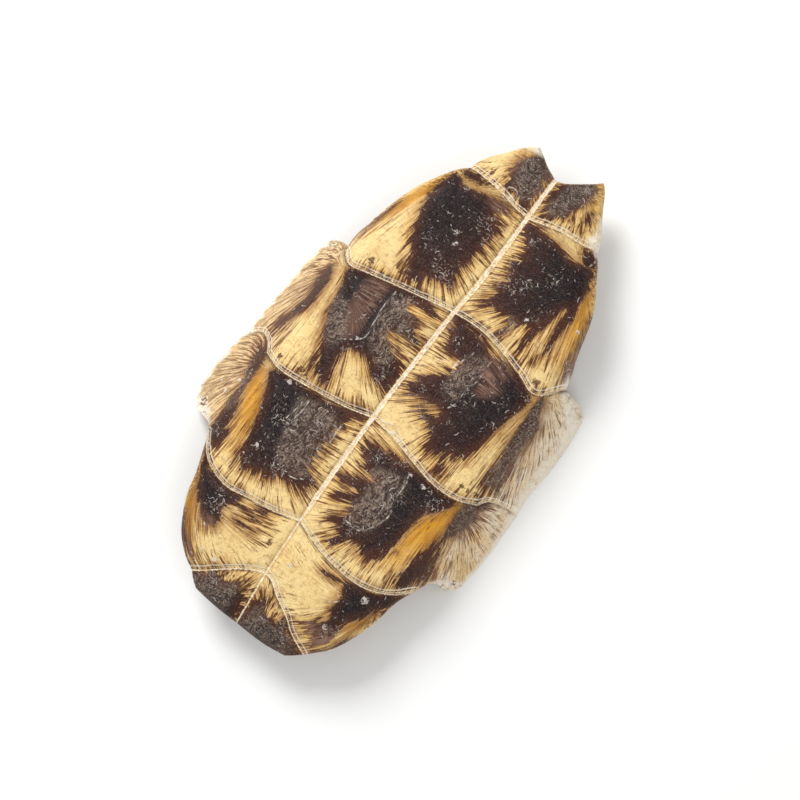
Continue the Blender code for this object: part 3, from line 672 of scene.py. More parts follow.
        base = self.base_height(x, y)
        normal = self.normal(x, y)
        outer = np.column_stack([points, base + (heights - droop) * (1.0 - wall) - rounding])
        outer += normal * fine[:, None]

        lip = lobe * np.exp(-((rim / self.lip_width) ** 2))
        thickness = self.plate_thickness + (self.lip_thickness - self.plate_thickness) * lip
        thickness += self.throat_thickening * np.exp(-((throat / self.lip_width) ** 2))
        buttress = self.buttress_thickening * np.exp(-((rim / self.buttress_width) ** 2)) * (1.0 - wall)
        thickness += (self.wall_thickness + buttress - thickness) * wall * (1.0 - lobe)
        inward = -normal * (1.0 - wall)[:, None]
        inward[:, 0] -= np.sign(x) * wall
        inward /= np.linalg.norm(inward, axis=-1, keepdims=True)
        inner = np.column_stack([points, base - droop * (1.0 - wall)]) + inward * thickness[:, None]
        inner[:, 2] += rounding
        return outer, inner

    def to_metres(self, points: Array) -> Array:
        """Points of the plan's frame in metres, in the frame of the CAD model."""
        return (points - np.array([*self.centre, 0.0])) * MM


@dataclass
class Growth:
    """How one scute grew out from its growth centre, over shares of its width and length.

    Growth lines are rounded oblongs, and the horn is combed at right angles to them.

    Attributes:
        areola: growth centre, as shares outwards and rearwards.
        width: from the midline to the rim, in millimetres.
        length: from the front seam to the rear one.
        wall: width of the bridge wall that the scute runs on over, or 0.
        number: which scute.
    """

    areola: tuple[float, float]
    width: float
    length: float
    wall: float
    number: int
    bend: float = 1.2
    wall_bend: float = 0.35
    squareness: float = 6.0

    def at(self, outward: Array, rearward: Array, on_wall: Array | float = 0.0) -> Array:
        """Where points lie in the pattern of growth.

        Args:
            outward: share of the way from the midline to the rim.
            rearward: share of the way from the front seam to the rear one.
            on_wall: share of the way down the bridge wall.

        Returns:
            Place along the border where the streak ends, in millimetres, share of the way out from
            the growth centre, and a value of the scute's own.
        """
        out_at, rear_at = self.areola
        if rear_at < 0.5:
            rear_at, rearward = 1.0 - rear_at, 1.0 - rearward
        inner, outer = out_at * self.width, (1.0 - out_at) * self.width + self.wall
        front, rear = rear_at * self.length, (1.0 - rear_at) * self.length
        across = (outward - out_at) * self.width + on_wall * self.wall
        along = (rear_at - rearward) * self.length
        is_out, is_front = across > 0.0, along > 0.0
        wide, deep = np.where(is_out, outer, inner), np.where(is_front, front, rear)
        a = np.clip(np.abs(across) / wide, 1e-3, 1.0)
        b = np.clip(np.abs(along) / deep, 1e-3, 1.0)
        bend = np.where(is_out & (self.wall > 0.0), self.wall_bend, self.bend)
        lean = b**-bend - a**-bend
        on_side = lean > 0.0
        end = (1.0 + np.abs(lean)) ** (-1.0 / bend)
        turned = np.where(on_side, end * deep, deep + (1.0 - end) * wide)
        half = front + inner
        place = np.where(is_front, turned, -turned)
        place = np.where(is_out, np.where(is_front, 2.0 * half - turned, 2.0 * half + turned), place)
        place = np.where(is_out & is_front, half + (wide + deep - turned), place)
        share = (a**self.squareness + b**self.squareness) ** (1.0 / self.squareness)
        own = np.full_like(place, 7.0 * self.number)
        return np.stack([place, np.minimum(share, 1.0), own], axis=-1)


@dataclass
class Plastron:
    """The horn and bone shell, one closed mesh with the marks of its surface as attributes."""

    form: ShellForm
    band_strips: tuple[int, ...] = (30, 34, 70, 76, 70, 38)
    half_strips: int = 100
    wall_strips: int = 30
    bunching: float = 0.5
    wall_bands: tuple[int, int] = (2, 3)
    wall_width: float = 22.0
    flake_height: float = 0.38
    edge_height: float = 0.3
    chip_height: float = 0.35
    pit_depth: float = 1.1
    ring_height: float = 0.09
    ring_count: float = 9.0
    wear_height: float = 0.16
    grain_height: float = 0.05
    sharp_angle: float = 55.0
    farthest_mark: float = 20.0
    worn_edge: tuple[float, float] = (0.4, 1.8)
    worn_pitch: float = 2.2
    worn_seed: int = 41

    def __post_init__(self) -> None:
        """Draws the seams and rims, and lofts the plan."""
        self.seams = {side: [smooth_curve(line) for line in OUTLINES[side].seams] for side in Side}
        self.rims = {side: [smooth_curve(line) for line in OUTLINES[side].rims] for side in Side}
        self.walls = {side: [smooth_curve(line) for line in OUTLINES[side].wall_lines] for side in Side}
        self.midlines = [smooth_curve(line) for line in MIDLINE]
        self.along = [self.bunched(count) for count in self.band_strips]
        self.loft()
        self.measure()

    def bunched(self, count: int) -> Array:
        """Shares from 0 to 1 that lie closer together near both ends, where seams and rims are."""
        t = np.linspace(0.0, 1.0, count + 1)
        return t - self.bunching * np.sin(2.0 * np.pi * t) / (2.0 * np.pi)

    def loft(self) -> None:
        """Lays the plan's points out as a plate and two walls, numbered so that they share borders."""
        across = self.bunched(self.half_strips)
        rows, self.row_bands = [], []
        for band, shares in enumerate(self.along):
            halves = [
                patch(self.seams[side][band], self.seams[side][band + 1], self.midlines[band],
                      self.rims[side][band], across, shares)
                for side in Side
            ]
            block = np.concatenate([halves[0][:, ::-1], halves[1][:, 1:]], axis=1)
            rows.append(block if band == 0 else block[1:])
            self.row_bands += [band] * self.band_strips[band]
        plate = np.concatenate(rows)
        points = [plate.reshape(-1, 2)]
        self.plate_ids = np.arange(plate.shape[0] * plate.shape[1]).reshape(plate.shape[:2])

        first = sum(self.band_strips[:self.wall_bands[0]])
        last = first + sum(self.band_strips[band] for band in self.wall_bands)
        self.wall_rows = (first, last)
        self.wall_ids = {}
        total = self.plate_ids.size
        for side in Side:
            blocks = []
            for index, band in enumerate(self.wall_bands):
                cut = smooth_curve(OUTLINES[side].cut_edges[index])
                block = patch(self.walls[side][index], self.walls[side][index + 1], self.rims[side][band],
                              cut, self.bunched(self.wall_strips), self.along[band])
                blocks.append(block if index == 0 else block[1:])
            wall = np.concatenate(blocks)[:, 1:]
            ids = np.arange(wall.shape[0] * wall.shape[1]).reshape(wall.shape[:2]) + total
            total += ids.size
            points.append(wall.reshape(-1, 2))
            root = self.plate_ids[first:last + 1, 0 if side is Side.LEFT else -1]
            self.wall_ids[side] = np.column_stack([root, ids])
        self.plan = np.concatenate(points)

    def measure(self) -> None:
        """Measures every plan point against rims, seams and edges."""
        left, right = self.seams[Side.LEFT], self.seams[Side.RIGHT]
        free = []
        for side in Side:
            rims, walls, seams = self.rims[side], self.walls[side], self.seams[side]
            free.append(np.vstack([seams[0], rims[0], rims[1], walls[0]]))
            free.append(np.vstack([walls[2][::-1], rims[4], rims[5], seams[6][::-1]]))
        self.rim = np.min([distance(self.plan, line) for line in free], axis=0)
        self.throat = distance(self.plan, np.vstack([left[0][::-1], right[0]]))
        self.cut_gap = np.min([distance(self.plan, self.form.cut[side]) for side in Side], axis=0)
        self.midline = np.vstack(self.midlines)
        middle = distance(self.plan, self.midline)
        lines = {side: list(self.seams[side]) for side in Side}
        for side in Side:
            lines[side][3] = np.vstack([lines[side][3], self.walls[side][1]])
        gaps = {side: [distance(self.plan, line) for line in lines[side][1:6]] for side in Side}
        on_left = self.plan[:, 0] <= np.interp(self.plan[:, 1], self.midline[:, 1], self.midline[:, 0])
        seam_gaps = np.where(on_left, np.array(gaps[Side.LEFT]), np.array(gaps[Side.RIGHT]))
        self.seam = np.minimum(seam_gaps.min(axis=0), middle)

        far = 99.0
        self.relief = np.zeros(len(self.plan))
        self.gaps = np.full((len(self.plan), 3), far)
        self.gaps[:, 2] = middle
        bands = np.zeros(len(self.plan), dtype=int)
        bands[self.plate_ids] = np.array([self.row_bands[0], *self.row_bands])[:, None]
        for side in Side:
            rows = self.row_bands[self.wall_rows[0]:self.wall_rows[1]]
            bands[self.wall_ids[side]] = np.array([rows[0], *rows])[:, None]
        for band in range(len(self.band_strips)):
            here = bands == band
            front = seam_gaps[band - 1][here] if band > 0 else np.full(here.sum(), far)
            rear = seam_gaps[band][here] if band < 5 else np.full(here.sum(), far)
            near = np.minimum(np.minimum(front, rear), middle[here])
            self.relief[here] = self.form.scute_relief(near, front, rear)
            self.gaps[here, 0], self.gaps[here, 1] = front, rear

    def scutes(self) -> list[tuple[Array, Array]]:
        """Numbers of each scute's plan points, in rows and columns, with its growth at each."""
        found = []
        starts = np.concatenate([[0], np.cumsum(self.band_strips)])
        across, down = self.bunched(self.half_strips), self.bunched(self.wall_strips)
        for number, (side, band) in enumerate((side, band) for side in Side
                                              for band in range(len(self.along))):
            rows = self.plate_ids[starts[band]:starts[band + 1] + 1]
            left = side is Side.LEFT
            ids = rows[:, self.half_strips::-1] if left else rows[:, self.half_strips:]
            middle = len(rows) // 2
            width = np.linalg.norm(self.plan[ids[middle, 0]] - self.plan[ids[middle, -1]])
            middle_strip = self.half_strips // 2
            length = np.linalg.norm(self.plan[ids[0, middle_strip]] - self.plan[ids[-1, middle_strip]])
            wall = self.wall_width if band in self.wall_bands else 0.0
            growth = Growth(AREOLAE[band], width, length, wall, number)
            rearward = self.along[band][:, None]
            blocks = [(ids, growth.at(*np.broadcast_arrays(across[None], rearward)))]
            if wall:
                first, last = (starts[band + step] - self.wall_rows[0] for step in (0, 1))
                wall_ids = self.wall_ids[side][first:last + 1]
                shares = np.broadcast_arrays(1.0, rearward, down[None])
                blocks.append((wall_ids, growth.at(*shares)))
            found += [(block[:, ::-1], values[:, ::-1]) if left else (block, values) for block,
                      values in blocks]
        return found

    @staticmethod
    def quads(ids: Array) -> Array:
        """Corners of the faces of a block whose rows run to +Y and columns to +X, seen from above."""
        return np.stack([ids[:-1, :-1], ids[:-1, 1:], ids[1:, 1:], ids[1:, :-1]], axis=2)

    def border_loop(self) -> Array:
        """Numbers of the plan points along the whole outline, counter-clockwise from above."""
        plate, (first, last) = self.plate_ids, self.wall_rows
        left, right = self.wall_ids[Side.LEFT], self.wall_ids[Side.RIGHT]
        parts = [
            plate[0, :], plate[1:first + 1, -1], right[0, 1:], right[1:, -1], right[-1, -2::-1],
            plate[last + 1:, -1], plate[-1, -2::-1], plate[-2:last - 1:-1, 0], left[-1, 1:],
            left[-2::-1, -1], left[0, -2::-1], plate[first - 1:0:-1, 0],
        ]
        return np.concatenate(parts)

    def fine_relief(self, share: Array) -> Array:
        """Relief that the CAD solid leaves out: flakes, growth rings, wear and grain.

        Args:
            share: share of the way from the growth centre to the border at each plan point.

        Returns:
            Height off the face at each plan point.
        """
        plan = self.plan
        ragged = 0.35 * lattice_noise(plan, 1.6, 3)
        fine = self.flake_height * smooth_step(depth_in(plan, FLAKES, 2.0) + ragged, -0.25, 0.35)
        edges = np.min([distance(plan, smooth_curve(line, 6)) for line in FLAKE_EDGES], axis=0)
        self.edge = edges
        fine += self.edge_height * np.exp(-(((edges + 0.25 * lattice_noise(plan, 0.9, 8)) / 0.36) ** 2))
        fine += self.chip_height * in_spots(plan, PALE_SPOTS) * (0.6 + lattice_noise(plan, 1.2, 19))
        pits = smooth_step(lattice_noise(plan, 1.3, 17) + 0.5 * lattice_noise(plan, 0.7, 18), -0.1, 0.35)
        fine -= self.pit_depth * pits * in_spots(plan, BROKEN_SPOTS)
        phase = share**1.6 * self.ring_count + 0.45 * lattice_noise(plan, 7.0,
                                                                    5) + 0.2 * lattice_noise(plan, 2.6, 6)
        rings = np.abs((phase % 1.0) - 0.5) * 2.0
        fine -= self.ring_height * (1.0 - smooth_step(rings, 0.0, 0.35)) * smooth_step(share, 0.35, 0.75)
        fine += self.wear_height * lattice_noise(plan, 6.0,
                                                 11) + 0.4 * self.wear_height * lattice_noise(plan, 2.3, 12)
        fine += self.grain_height * (lattice_noise(plan, 1.1, 13) + 0.7 * lattice_noise(plan, 0.6, 14))
        wall = smooth_step(self.form.wall_share(plan[:, 0], plan[:, 1]), 0.0, 0.5)
        fine -= 0.35 * wall * np.exp(-((self.seam / 0.9) ** 2))
        crack = distance(plan, smooth_curve(WALL_CRACK, 8)) + 0.2 * lattice_noise(plan, 1.0, 21)
        fine -= 0.7 * np.exp(-((crack / 0.35) ** 2))
        return fine * smooth_step(self.cut_gap, 0.0, 1.2) * smooth_step(self.rim, -0.3, 1.0)

    def build(self, horn: bpy.types.Material, bone: bpy.types.Material) -> bpy.types.Object:
        """Makes the shell.

        Args:
            horn: material of the outer face and the lobes' rims.
            bone: material of the inner face and the sawn edges.

        Returns:
            The finished object.
        """
        scutes = self.scutes()
        share = np.ones(len(self.plan))
        for ids, values in scutes:
            share[ids] = np.minimum(share[ids], values[..., 1])
        growth = [self.quads(values).reshape(-1, 3) for _, values in scutes]
        outer, inner = self.form.faces(self.plan, self.relief, self.fine_relief(share), self.rim, self.throat)
        outer[self.border_loop(), 2] = np.maximum(outer[self.border_loop(), 2], 0.0)

        kept = np.full(len(self.plan), -1)
        blocks = [self.plate_ids[::2, ::2]] + [self.wall_ids[side][::2, ::2] for side in Side]
        coarse = np.unique(np.concatenate([block.ravel() for block in blocks]))
        kept[coarse] = np.arange(len(coarse)) + len(self.plan)
        left, right = self.wall_ids[Side.LEFT][::2, ::-2], self.wall_ids[Side.RIGHT][::2, ::2]
        under = np.concatenate([self.quads(kept[ids]).reshape(-1, 4)[:, ::-1]
                                for ids in (blocks[0], left, right)])

        loop = self.border_loop()
        a, b, c = loop[::2], loop[1::2], np.roll(loop[::2], -1)
        p, q = kept[a], kept[c]
        strip = np.concatenate([np.column_stack(t) for t in ((p, q, b), (q, c, b), (p, b, a))])
        strip_plan = np.concatenate([a, c, a])

        mesh = bpy.data.meshes.new("horn_and_bone")
        top = np.concatenate([self.quads(ids).reshape(-1, 4) for ids, _ in scutes])
        vertices = self.form.to_metres(np.vstack([outer, inner[coarse]]))
        mesh.from_pydata(vertices.tolist(), [], top.tolist() + under.tolist() + strip.tolist())
        lobe = self.form.lobe_share(self.plan[strip_plan, 1]) > 0.5
        slots = np.concatenate([np.zeros(len(top)), np.ones(len(under)), np.where(lobe, 0, 1)])
        mesh.materials.append(horn)
        mesh.materials.append(bone)
        mesh.polygons.foreach_set("material_index", slots.astype(np.int32))
        mesh.polygons.foreach_set("use_smooth", np.ones(len(mesh.polygons), dtype=bool))
        mesh.set_sharp_from_angle(angle=math.radians(self.sharp_angle))

        rest = len(mesh.loops) - sum(len(part) for part in growth)
        self.write(mesh, "growth", "FLOAT_VECTOR", "CORNER",
                   np.vstack([*growth, np.tile([0.0, 0.6, 0.0], (rest, 1))]))
        self.marks(mesh, np.concatenate([self.plan, self.plan[coarse]]), coarse)
        mesh.validate()
        mesh.update()
        shell = bpy.data.objects.new("horn_and_bone_shell", mesh)
        bpy.context.scene.collection.objects.link(shell)
        return shell

    def marks(self, mesh: bpy.types.Mesh, plan: Array, coarse: Array) -> None:
        """Writes what the materials read at each vertex.

        Args:
            mesh: the shell's mesh.
            plan: plan point of every vertex.
            coarse: numbers of the plan points that the inner face keeps.
        """
        both = np.concatenate([np.arange(len(self.plan)), coarse])
        self.write(mesh, "dark", "FLOAT", "POINT", depth_in(plan, DARK_PATCHES))
        masks = [smooth_step(depth_in(plan, group, 3.0), -soft, soft)
                 for group, soft in ((AMBER_PATCHES, 1.6), (HAZE_PATCHES, 1.8), (BROWN_PATCHES, 2.2),
                                     (BARE_PATCHES, 1.2))]
        cut_gap = self.cut_gap[both]
        worn = cut_gap + lattice_noise(plan, self.worn_pitch, self.worn_seed)
        masks[-1] = np.maximum(masks[-1], 1.0 - smooth_step(worn, *self.worn_edge))
        self.write(mesh, "tone", "FLOAT_COLOR", "POINT", np.column_stack(masks))
        spots = in_spots(self.plan, PALE_SPOTS) - in_spots(self.plan, BROWN_SPOTS)
        lines = np.column_stack([spots, self.rim, self.edge])[both]
        self.write(mesh, "lines", "FLOAT_VECTOR", "POINT", np.minimum(lines, self.farthest_mark))
        self.write(mesh, "rows", "FLOAT_VECTOR", "POINT", np.minimum(self.gaps[both], self.farthest_mark))
        wall = smooth_step(self.form.wall_share(plan[:, 0], plan[:, 1]), -0.1, 0.5)
        suture = np.min([distance(plan, smooth_curve(line, 6)) for line in SUTURES], axis=0)
        extra = np.minimum(np.column_stack([wall, suture, cut_gap]), self.farthest_mark)
        self.write(mesh, "place", "FLOAT_VECTOR", "POINT", extra)

    @staticmethod
    def write(mesh: bpy.types.Mesh, name: str, kind: str, domain: str, values: Array) -> None:
        """Adds an attribute with the given values to a mesh."""
        attribute = mesh.attributes.new(name, kind, domain)
        key = {"FLOAT": "value", "FLOAT_VECTOR": "vector", "FLOAT_COLOR": "color"}[kind]
        attribute.data.foreach_set(key, np.ascontiguousarray(values, dtype=np.float32).ravel())


# Materials


def linear(red: int, green: int, blue: int) -> Colour:
    """A colour given as it looks on a screen, 0 to 255, in the renderer's linear values."""
    shares = [value / 255.0 for value in (red, green, blue)]
    return tuple(s / 12.92 if s <= 0.04045 else ((s + 0.055) / 1.055) ** 2.4 for s in shares)


@dataclass(frozen=True)
class HornFinish:
    """Colours and gloss of the horn."""

    cream: Colour = linear(240, 212, 150)
    amber: Colour = linear(210, 146, 26)
    tan: Colour = linear(226, 194, 146)
    dirt: Colour = linear(170, 126, 82)
    brown: Colour = linear(116, 68, 36)
    violet: Colour = linear(142, 108, 92)
    black: Colour = linear(18, 13, 19)
    russet: Colour = linear(72, 38, 24)
    haze: Colour = linear(158, 138, 122)
    dust: Colour = linear(214, 206, 196)
    bare: Colour = linear(240, 230, 212)
    bead: Colour = linear(250, 240, 220)
    roughness: float = 0.42
    dust_roughness: float = 0.75


@dataclass(frozen=True)
class BoneFinish:
    """Colours and gloss of the bare bone."""

    cream: Colour = linear(226, 208, 172)
    shade: Colour = linear(176, 144, 100)
    pore: Colour = linear(120, 92, 64)
    suture: Colour = linear(128, 98, 66)
    roughness: float = 0.7


@dataclass(frozen=True)
class CrumbFinish:
    """Colours and gloss of loose flakes, crumbs and the ridges in the seams."""

    pale: Colour
    dull: Colour
    roughness: float


class NodeSheet:
    """A node tree with short calls for the nodes that the materials are made of."""

    def __init__(self, tree: bpy.types.NodeTree) -> None:
        """Keeps the tree that nodes are added to."""
        self.tree = tree

    def node(self, kind: str, **settings: object) -> bpy.types.Node:
        """Adds a node and sets its properties."""
        node = self.tree.nodes.new(kind)
        for name, value in settings.items():
            setattr(node, name, value)
        return node

    def feed(self, socket: bpy.types.NodeSocket, value: object) -> None:
        """Links a socket to an output, or sets its value.

        Args:
            socket: the input.
            value: an output socket, a number, a vector or a colour.
        """
        if isinstance(value, bpy.types.NodeSocket):
            self.tree.links.new(value, socket)
        elif isinstance(value, tuple) and socket.type == "RGBA":
            socket.default_value = (*value, 1.0)
        else:
            socket.default_value = value

    def math(self, operation: str, first: object, second: object = 0.0,
             clamp: bool = False) -> bpy.types.NodeSocket:
        """Result of a Math node."""
        node = self.node("ShaderNodeMath", operation=operation, use_clamp=clamp)
        self.feed(node.inputs[0], first)
        self.feed(node.inputs[1], second)
        return node.outputs[0]

    def add(self, first: object, second: object) -> bpy.types.NodeSocket:
        """Sum of two values."""
        return self.math("ADD", first, second)

    def times(self, first: object, second: object) -> bpy.types.NodeSocket:
        """Product of two values."""
        return self.math("MULTIPLY", first, second)

    def inverse(self, value: object) -> bpy.types.NodeSocket:
        """One less a value."""
        return self.math("SUBTRACT", 1.0, value)

    def step(self, value: object, low: object, high: object, to_low: float = 0.0,
             to_high: float = 1.0) -> bpy.types.NodeSocket:
        """A smooth rise from one level to another.

        Args:
            value: what it follows.
            low: where it starts.
            high: where it ends.
            to_low: level below the start.
            to_high: level past the end.

        Returns:
            The level.
        """
        node = self.node("ShaderNodeMapRange", interpolation_type="SMOOTHSTEP")
        for index, item in enumerate((value, low, high, to_low, to_high)):
            self.feed(node.inputs[index], item)
        return node.outputs[0]

    def blend(self, share: object, first: object, second: object) -> bpy.types.NodeSocket:
        """Mix of two colours by a share."""
        node = self.node("ShaderNodeMix", data_type="RGBA")
        for index, item in ((0, share), (6, first), (7, second)):
            self.feed(node.inputs[index], item)
        return node.outputs[2]

    def scaled(self, vector: object, scale: tuple[float, float, float]) -> bpy.types.NodeSocket:
        """A vector times a scale on each axis."""
        node = self.node("ShaderNodeVectorMath", operation="MULTIPLY")
        self.feed(node.inputs[0], vector)
        node.inputs[1].default_value = scale
        return node.outputs[0]

    def noise(self, vector: object, scale: object, detail: float = 2.0, roughness: float = 0.5,
              distortion: float = 0.0) -> bpy.types.NodeSocket:
        """Value of a noise texture."""
        node = self.node("ShaderNodeTexNoise")
        self.feed(node.inputs["Vector"], vector)
        for name, item in (("Scale", scale), ("Detail", detail), ("Roughness", roughness),
                           ("Distortion", distortion)):
            self.feed(node.inputs[name], item)
        return node.outputs[0]

    def group(self, tree: bpy.types.NodeTree, **values: object) -> bpy.types.Node:
        """Places a node group and feeds its inputs, by name with _ for a space."""
        node = self.node("ShaderNodeGroup", node_tree=tree)
        for name, value in values.items():
            self.feed(node.inputs[name.replace("_", " ")], value)
        return node

    def attribute(self, name: str) -> bpy.types.Node:
        """Reads an attribute of the mesh."""
        return self.node("ShaderNodeAttribute", attribute_name=name)

    def parts(self, vector: object) -> tuple[bpy.types.NodeSocket, ...]:
        """The three parts of a vector."""
        node = self.node("ShaderNodeSeparateXYZ")
        self.feed(node.inputs[0], vector)
        return tuple(node.outputs)

    def colour_parts(self, colour: object) -> tuple[bpy.types.NodeSocket, ...]:
        """The three parts of a colour."""
        node = self.node("ShaderNodeSeparateColor")
        self.feed(node.inputs[0], colour)
        return tuple(node.outputs)


class ShaderGroup(NodeSheet):
    """A shader node group under construction."""

    def __init__(self, name: str, inputs: dict[str, str], outputs: dict[str, str]) -> None:
        """Makes the group with its sockets.

        Args:
            name: name of the group.
            inputs: socket type of each input.
            outputs: socket type of each output.
        """
        super().__init__(bpy.data.node_groups.new(name, "ShaderNodeTree"))
        for in_out, sockets in (("INPUT", inputs), ("OUTPUT", outputs)):
            for socket, kind in sockets.items():
                self.tree.interface.new_socket(socket, in_out=in_out, socket_type=f"NodeSocket{kind}")
        self.given = self.node("NodeGroupInput").outputs
        self.result = self.node("NodeGroupOutput").inputs


@dataclass
class Effects:
    """Shader node groups that several materials share."""

    streaks: bpy.types.NodeTree = field(init=False)
    specks: bpy.types.NodeTree = field(init=False)
    scratches: bpy.types.NodeTree = field(init=False)
    strokes: bpy.types.NodeTree = field(init=False)
    pores: bpy.types.NodeTree = field(init=False)
    horn: bpy.types.NodeTree = field(init=False)

    def __post_init__(self) -> None:
        """Builds the groups."""
        self.streaks = self.make_streaks()
        self.specks = self.make_specks()
        self.scratches = self.make_scratches()
        self.strokes = self.make_strokes()
        self.pores = self.make_pores()
        self.horn = self.make_horn(HornFinish())

    @staticmethod
    def make_streaks() -> bpy.types.NodeTree:
        """Streaks that run out from the growth centre, from -1 to 1."""
        sheet = ShaderGroup("growth_streaks", {"Growth": "Vector", "Across": "Float", "Along": "Float"},
                            {"Streak": "Float"})
        place, share, own = sheet.parts(sheet.given["Growth"])
        joined = sheet.node("ShaderNodeCombineXYZ")
        for socket, value, rate in zip(joined.inputs, (place, share), ("Across", "Along")):
            sheet.feed(socket, sheet.times(value, sheet.given[rate]))
        sheet.feed(joined.inputs[2], own)
        value = sheet.noise(joined.outputs[0], 1.0, 2.0, 0.55)
        sheet.feed(sheet.result["Streak"], sheet.times(sheet.math("SUBTRACT", value, 0.5), 4.0))
        return sheet.tree

    @staticmethod
    def make_specks() -> bpy.types.NodeTree:
        """Specks of dust and chalk, denser where a broad noise is high."""
        sheet = ShaderGroup("dust_specks", {"Place": "Vector", "Per millimetre": "Float", "Amount": "Float"},
                            {"Mask": "Float"})
        fine = sheet.noise(sheet.given["Place"], sheet.given["Per millimetre"], 1.5, 0.6)
        broad = sheet.noise(sheet.given["Place"], 0.16, 2.0)
        edge = sheet.math("SUBTRACT", 0.86,
                          sheet.times(sheet.given["Amount"], sheet.step(broad, 0.35, 0.7, 0.12, 0.3)))
        sheet.feed(sheet.result["Mask"], sheet.step(fine, edge, sheet.add(edge, 0.05)))
        return sheet.tree

    @staticmethod
    def make_scratches() -> bpy.types.NodeTree:
        """Thin scratches in three directions."""
        sheet = ShaderGroup("fine_scratches", {"Place": "Vector", "Amount": "Float"}, {"Mask": "Float"})
        total = None
        for turn in (0.5, 1.35, 2.4):
            mapping = sheet.node("ShaderNodeMapping")
            sheet.feed(mapping.inputs["Vector"], sheet.given["Place"])
            mapping.inputs["Rotation"].default_value = (0.0, 0.0, turn)
            mapping.inputs["Scale"].default_value = (0.07, 1.9, 1.0)
            line = sheet.step(sheet.noise(mapping.outputs[0], 1.0, 1.0, 0.4, 0.25), 0.72, 0.78)
            total = line if total is None else sheet.math("MAXIMUM", total, line)
        sheet.feed(sheet.result["Mask"], sheet.times(total, sheet.given["Amount"]))
        return sheet.tree

    @staticmethod
    def make_strokes() -> bpy.types.NodeTree:
        """Short bent strokes of chalk, each turned its own way."""
        sheet = ShaderGroup("chalk_strokes", {"Place": "Vector", "Per millimetre": "Float",
                                              "Amount": "Float"}, {"Mask": "Float"})
        place = sheet.given["Place"]
        cells = sheet.node("ShaderNodeTexVoronoi", voronoi_dimensions="2D")
        sheet.feed(cells.inputs["Vector"], place)
        sheet.feed(cells.inputs["Scale"], sheet.given["Per millimetre"])
        turn, luck, size = sheet.colour_parts(cells.outputs["Color"])
        local = sheet.node("ShaderNodeVectorMath", operation="SUBTRACT")
        sheet.feed(local.inputs[0], place)
        sheet.feed(local.inputs[1], cells.outputs["Position"])
        turned = sheet.node("ShaderNodeVectorRotate", rotation_type="Z_AXIS")
        sheet.feed(turned.inputs["Vector"], local.outputs[0])
        sheet.feed(turned.inputs["Angle"], sheet.times(turn, 12.6))
        along, across, _ = sheet.parts(turned.outputs[0])
        bent = sheet.add(across, sheet.times(sheet.times(along, along), 0.3))
        waver = sheet.times(sheet.math("SUBTRACT", sheet.noise(place, 2.5, 2.0), 0.5), 0.45)
        width = sheet.step(sheet.math("ABSOLUTE", sheet.add(bent, waver)), 0.06, 0.2, 1.0, 0.0)
        tip = sheet.math("SUBTRACT", sheet.math("ABSOLUTE", along), sheet.times(size, 1.1))
        length = sheet.step(tip, -0.1, 0.35, 1.0, 0.0)
        chosen = sheet.math("LESS_THAN", luck, sheet.given["Amount"])
        sheet.feed(sheet.result["Mask"], sheet.times(sheet.times(width, length), chosen))
        return sheet.tree

    @staticmethod
    def make_pores() -> bpy.types.NodeTree:
        """Pores and grain of bone: a mask of the pores and a height."""
        sheet = ShaderGroup("bone_pores", {"Place": "Vector", "Per millimetre": "Float"},
                            {"Mask": "Float", "Height": "Float"})
        cells = sheet.node("ShaderNodeTexVoronoi")
        sheet.feed(cells.inputs["Vector"], sheet.given["Place"])
        sheet.feed(cells.inputs["Scale"], sheet.given["Per millimetre"])
        chosen = sheet.step(sheet.noise(sheet.given["Place"], 0.4, 3.0), 0.45, 0.62)
        pore = sheet.times(sheet.step(cells.outputs["Distance"], 0.16, 0.3, 1.0, 0.0), chosen)
        grain = sheet.noise(sheet.given["Place"], 2.2, 4.0, 0.65)
        sheet.feed(sheet.result["Mask"], pore)
        sheet.feed(sheet.result["Height"], sheet.math("SUBTRACT", grain, sheet.times(pore, 0.9)))
        return sheet.tree

    def make_horn(self, finish: HornFinish) -> bpy.types.NodeTree:
        """Colour, gloss and height of the horn from the marks on the shell.

        Args:
            finish: the horn's colours.

        Returns:
            The group.
        """
        sheet = ShaderGroup(
            "combed_horn",
            {"Place": "Vector", "Growth": "Vector", "Dark": "Float", "Tone": "Color", "Bare": "Float",
             "Lines": "Vector", "Rows": "Vector", "Wall": "Float"},
            {"Color": "Color", "Roughness": "Float", "Height": "Float"},
        )
        given = sheet.given
        place, growth = given["Place"], given["Growth"]
        spot, _, edge = sheet.parts(given["Lines"])
        end, share, own = sheet.parts(growth)
        amber_mark, haze_mark, brown_mark = sheet.colour_parts(given["Tone"])

        def streak(across: float, along: float) -> bpy.types.NodeSocket:
            """Streaks of one fineness."""
            return sheet.group(self.streaks, Growth=growth, Across=across, Along=along).outputs[0]

        broad, middle, thin = streak(0.18, 1.2), streak(0.6, 3.0), streak(1.7, 6.0)
        dash, hair = streak(1.1, 5.5), streak(2.4, 2.4)
        soft = sheet.noise(place, 0.13, 2.0)
        fine = sheet.noise(place, 1.3, 3.0, 0.6)
        grain = sheet.times(sheet.math("SUBTRACT", fine, 0.5), 2.0)
        wall = given["Wall"]
        front, rear, middle_gap = sheet.parts(given["Rows"])

        # dark horn with a ragged border
        near = sheet.add(given["Dark"], 0.2)
        reach = sheet.step(share, 0.1, 0.9, 0.55, 2.1)
        sway = sheet.add(sheet.add(sheet.times(broad, 0.8), sheet.times(middle, 0.9)),
                         sheet.times(thin, 0.75))
        depth = sheet.add(sheet.add(near, sheet.times(reach, sway)), grain)
        dark = sheet.step(depth, -0.4, 0.6)
        dark = sheet.times(dark, sheet.inverse(sheet.times(wall, sheet.step(thin, -0.6, 0.8, 0.0, 0.75))))

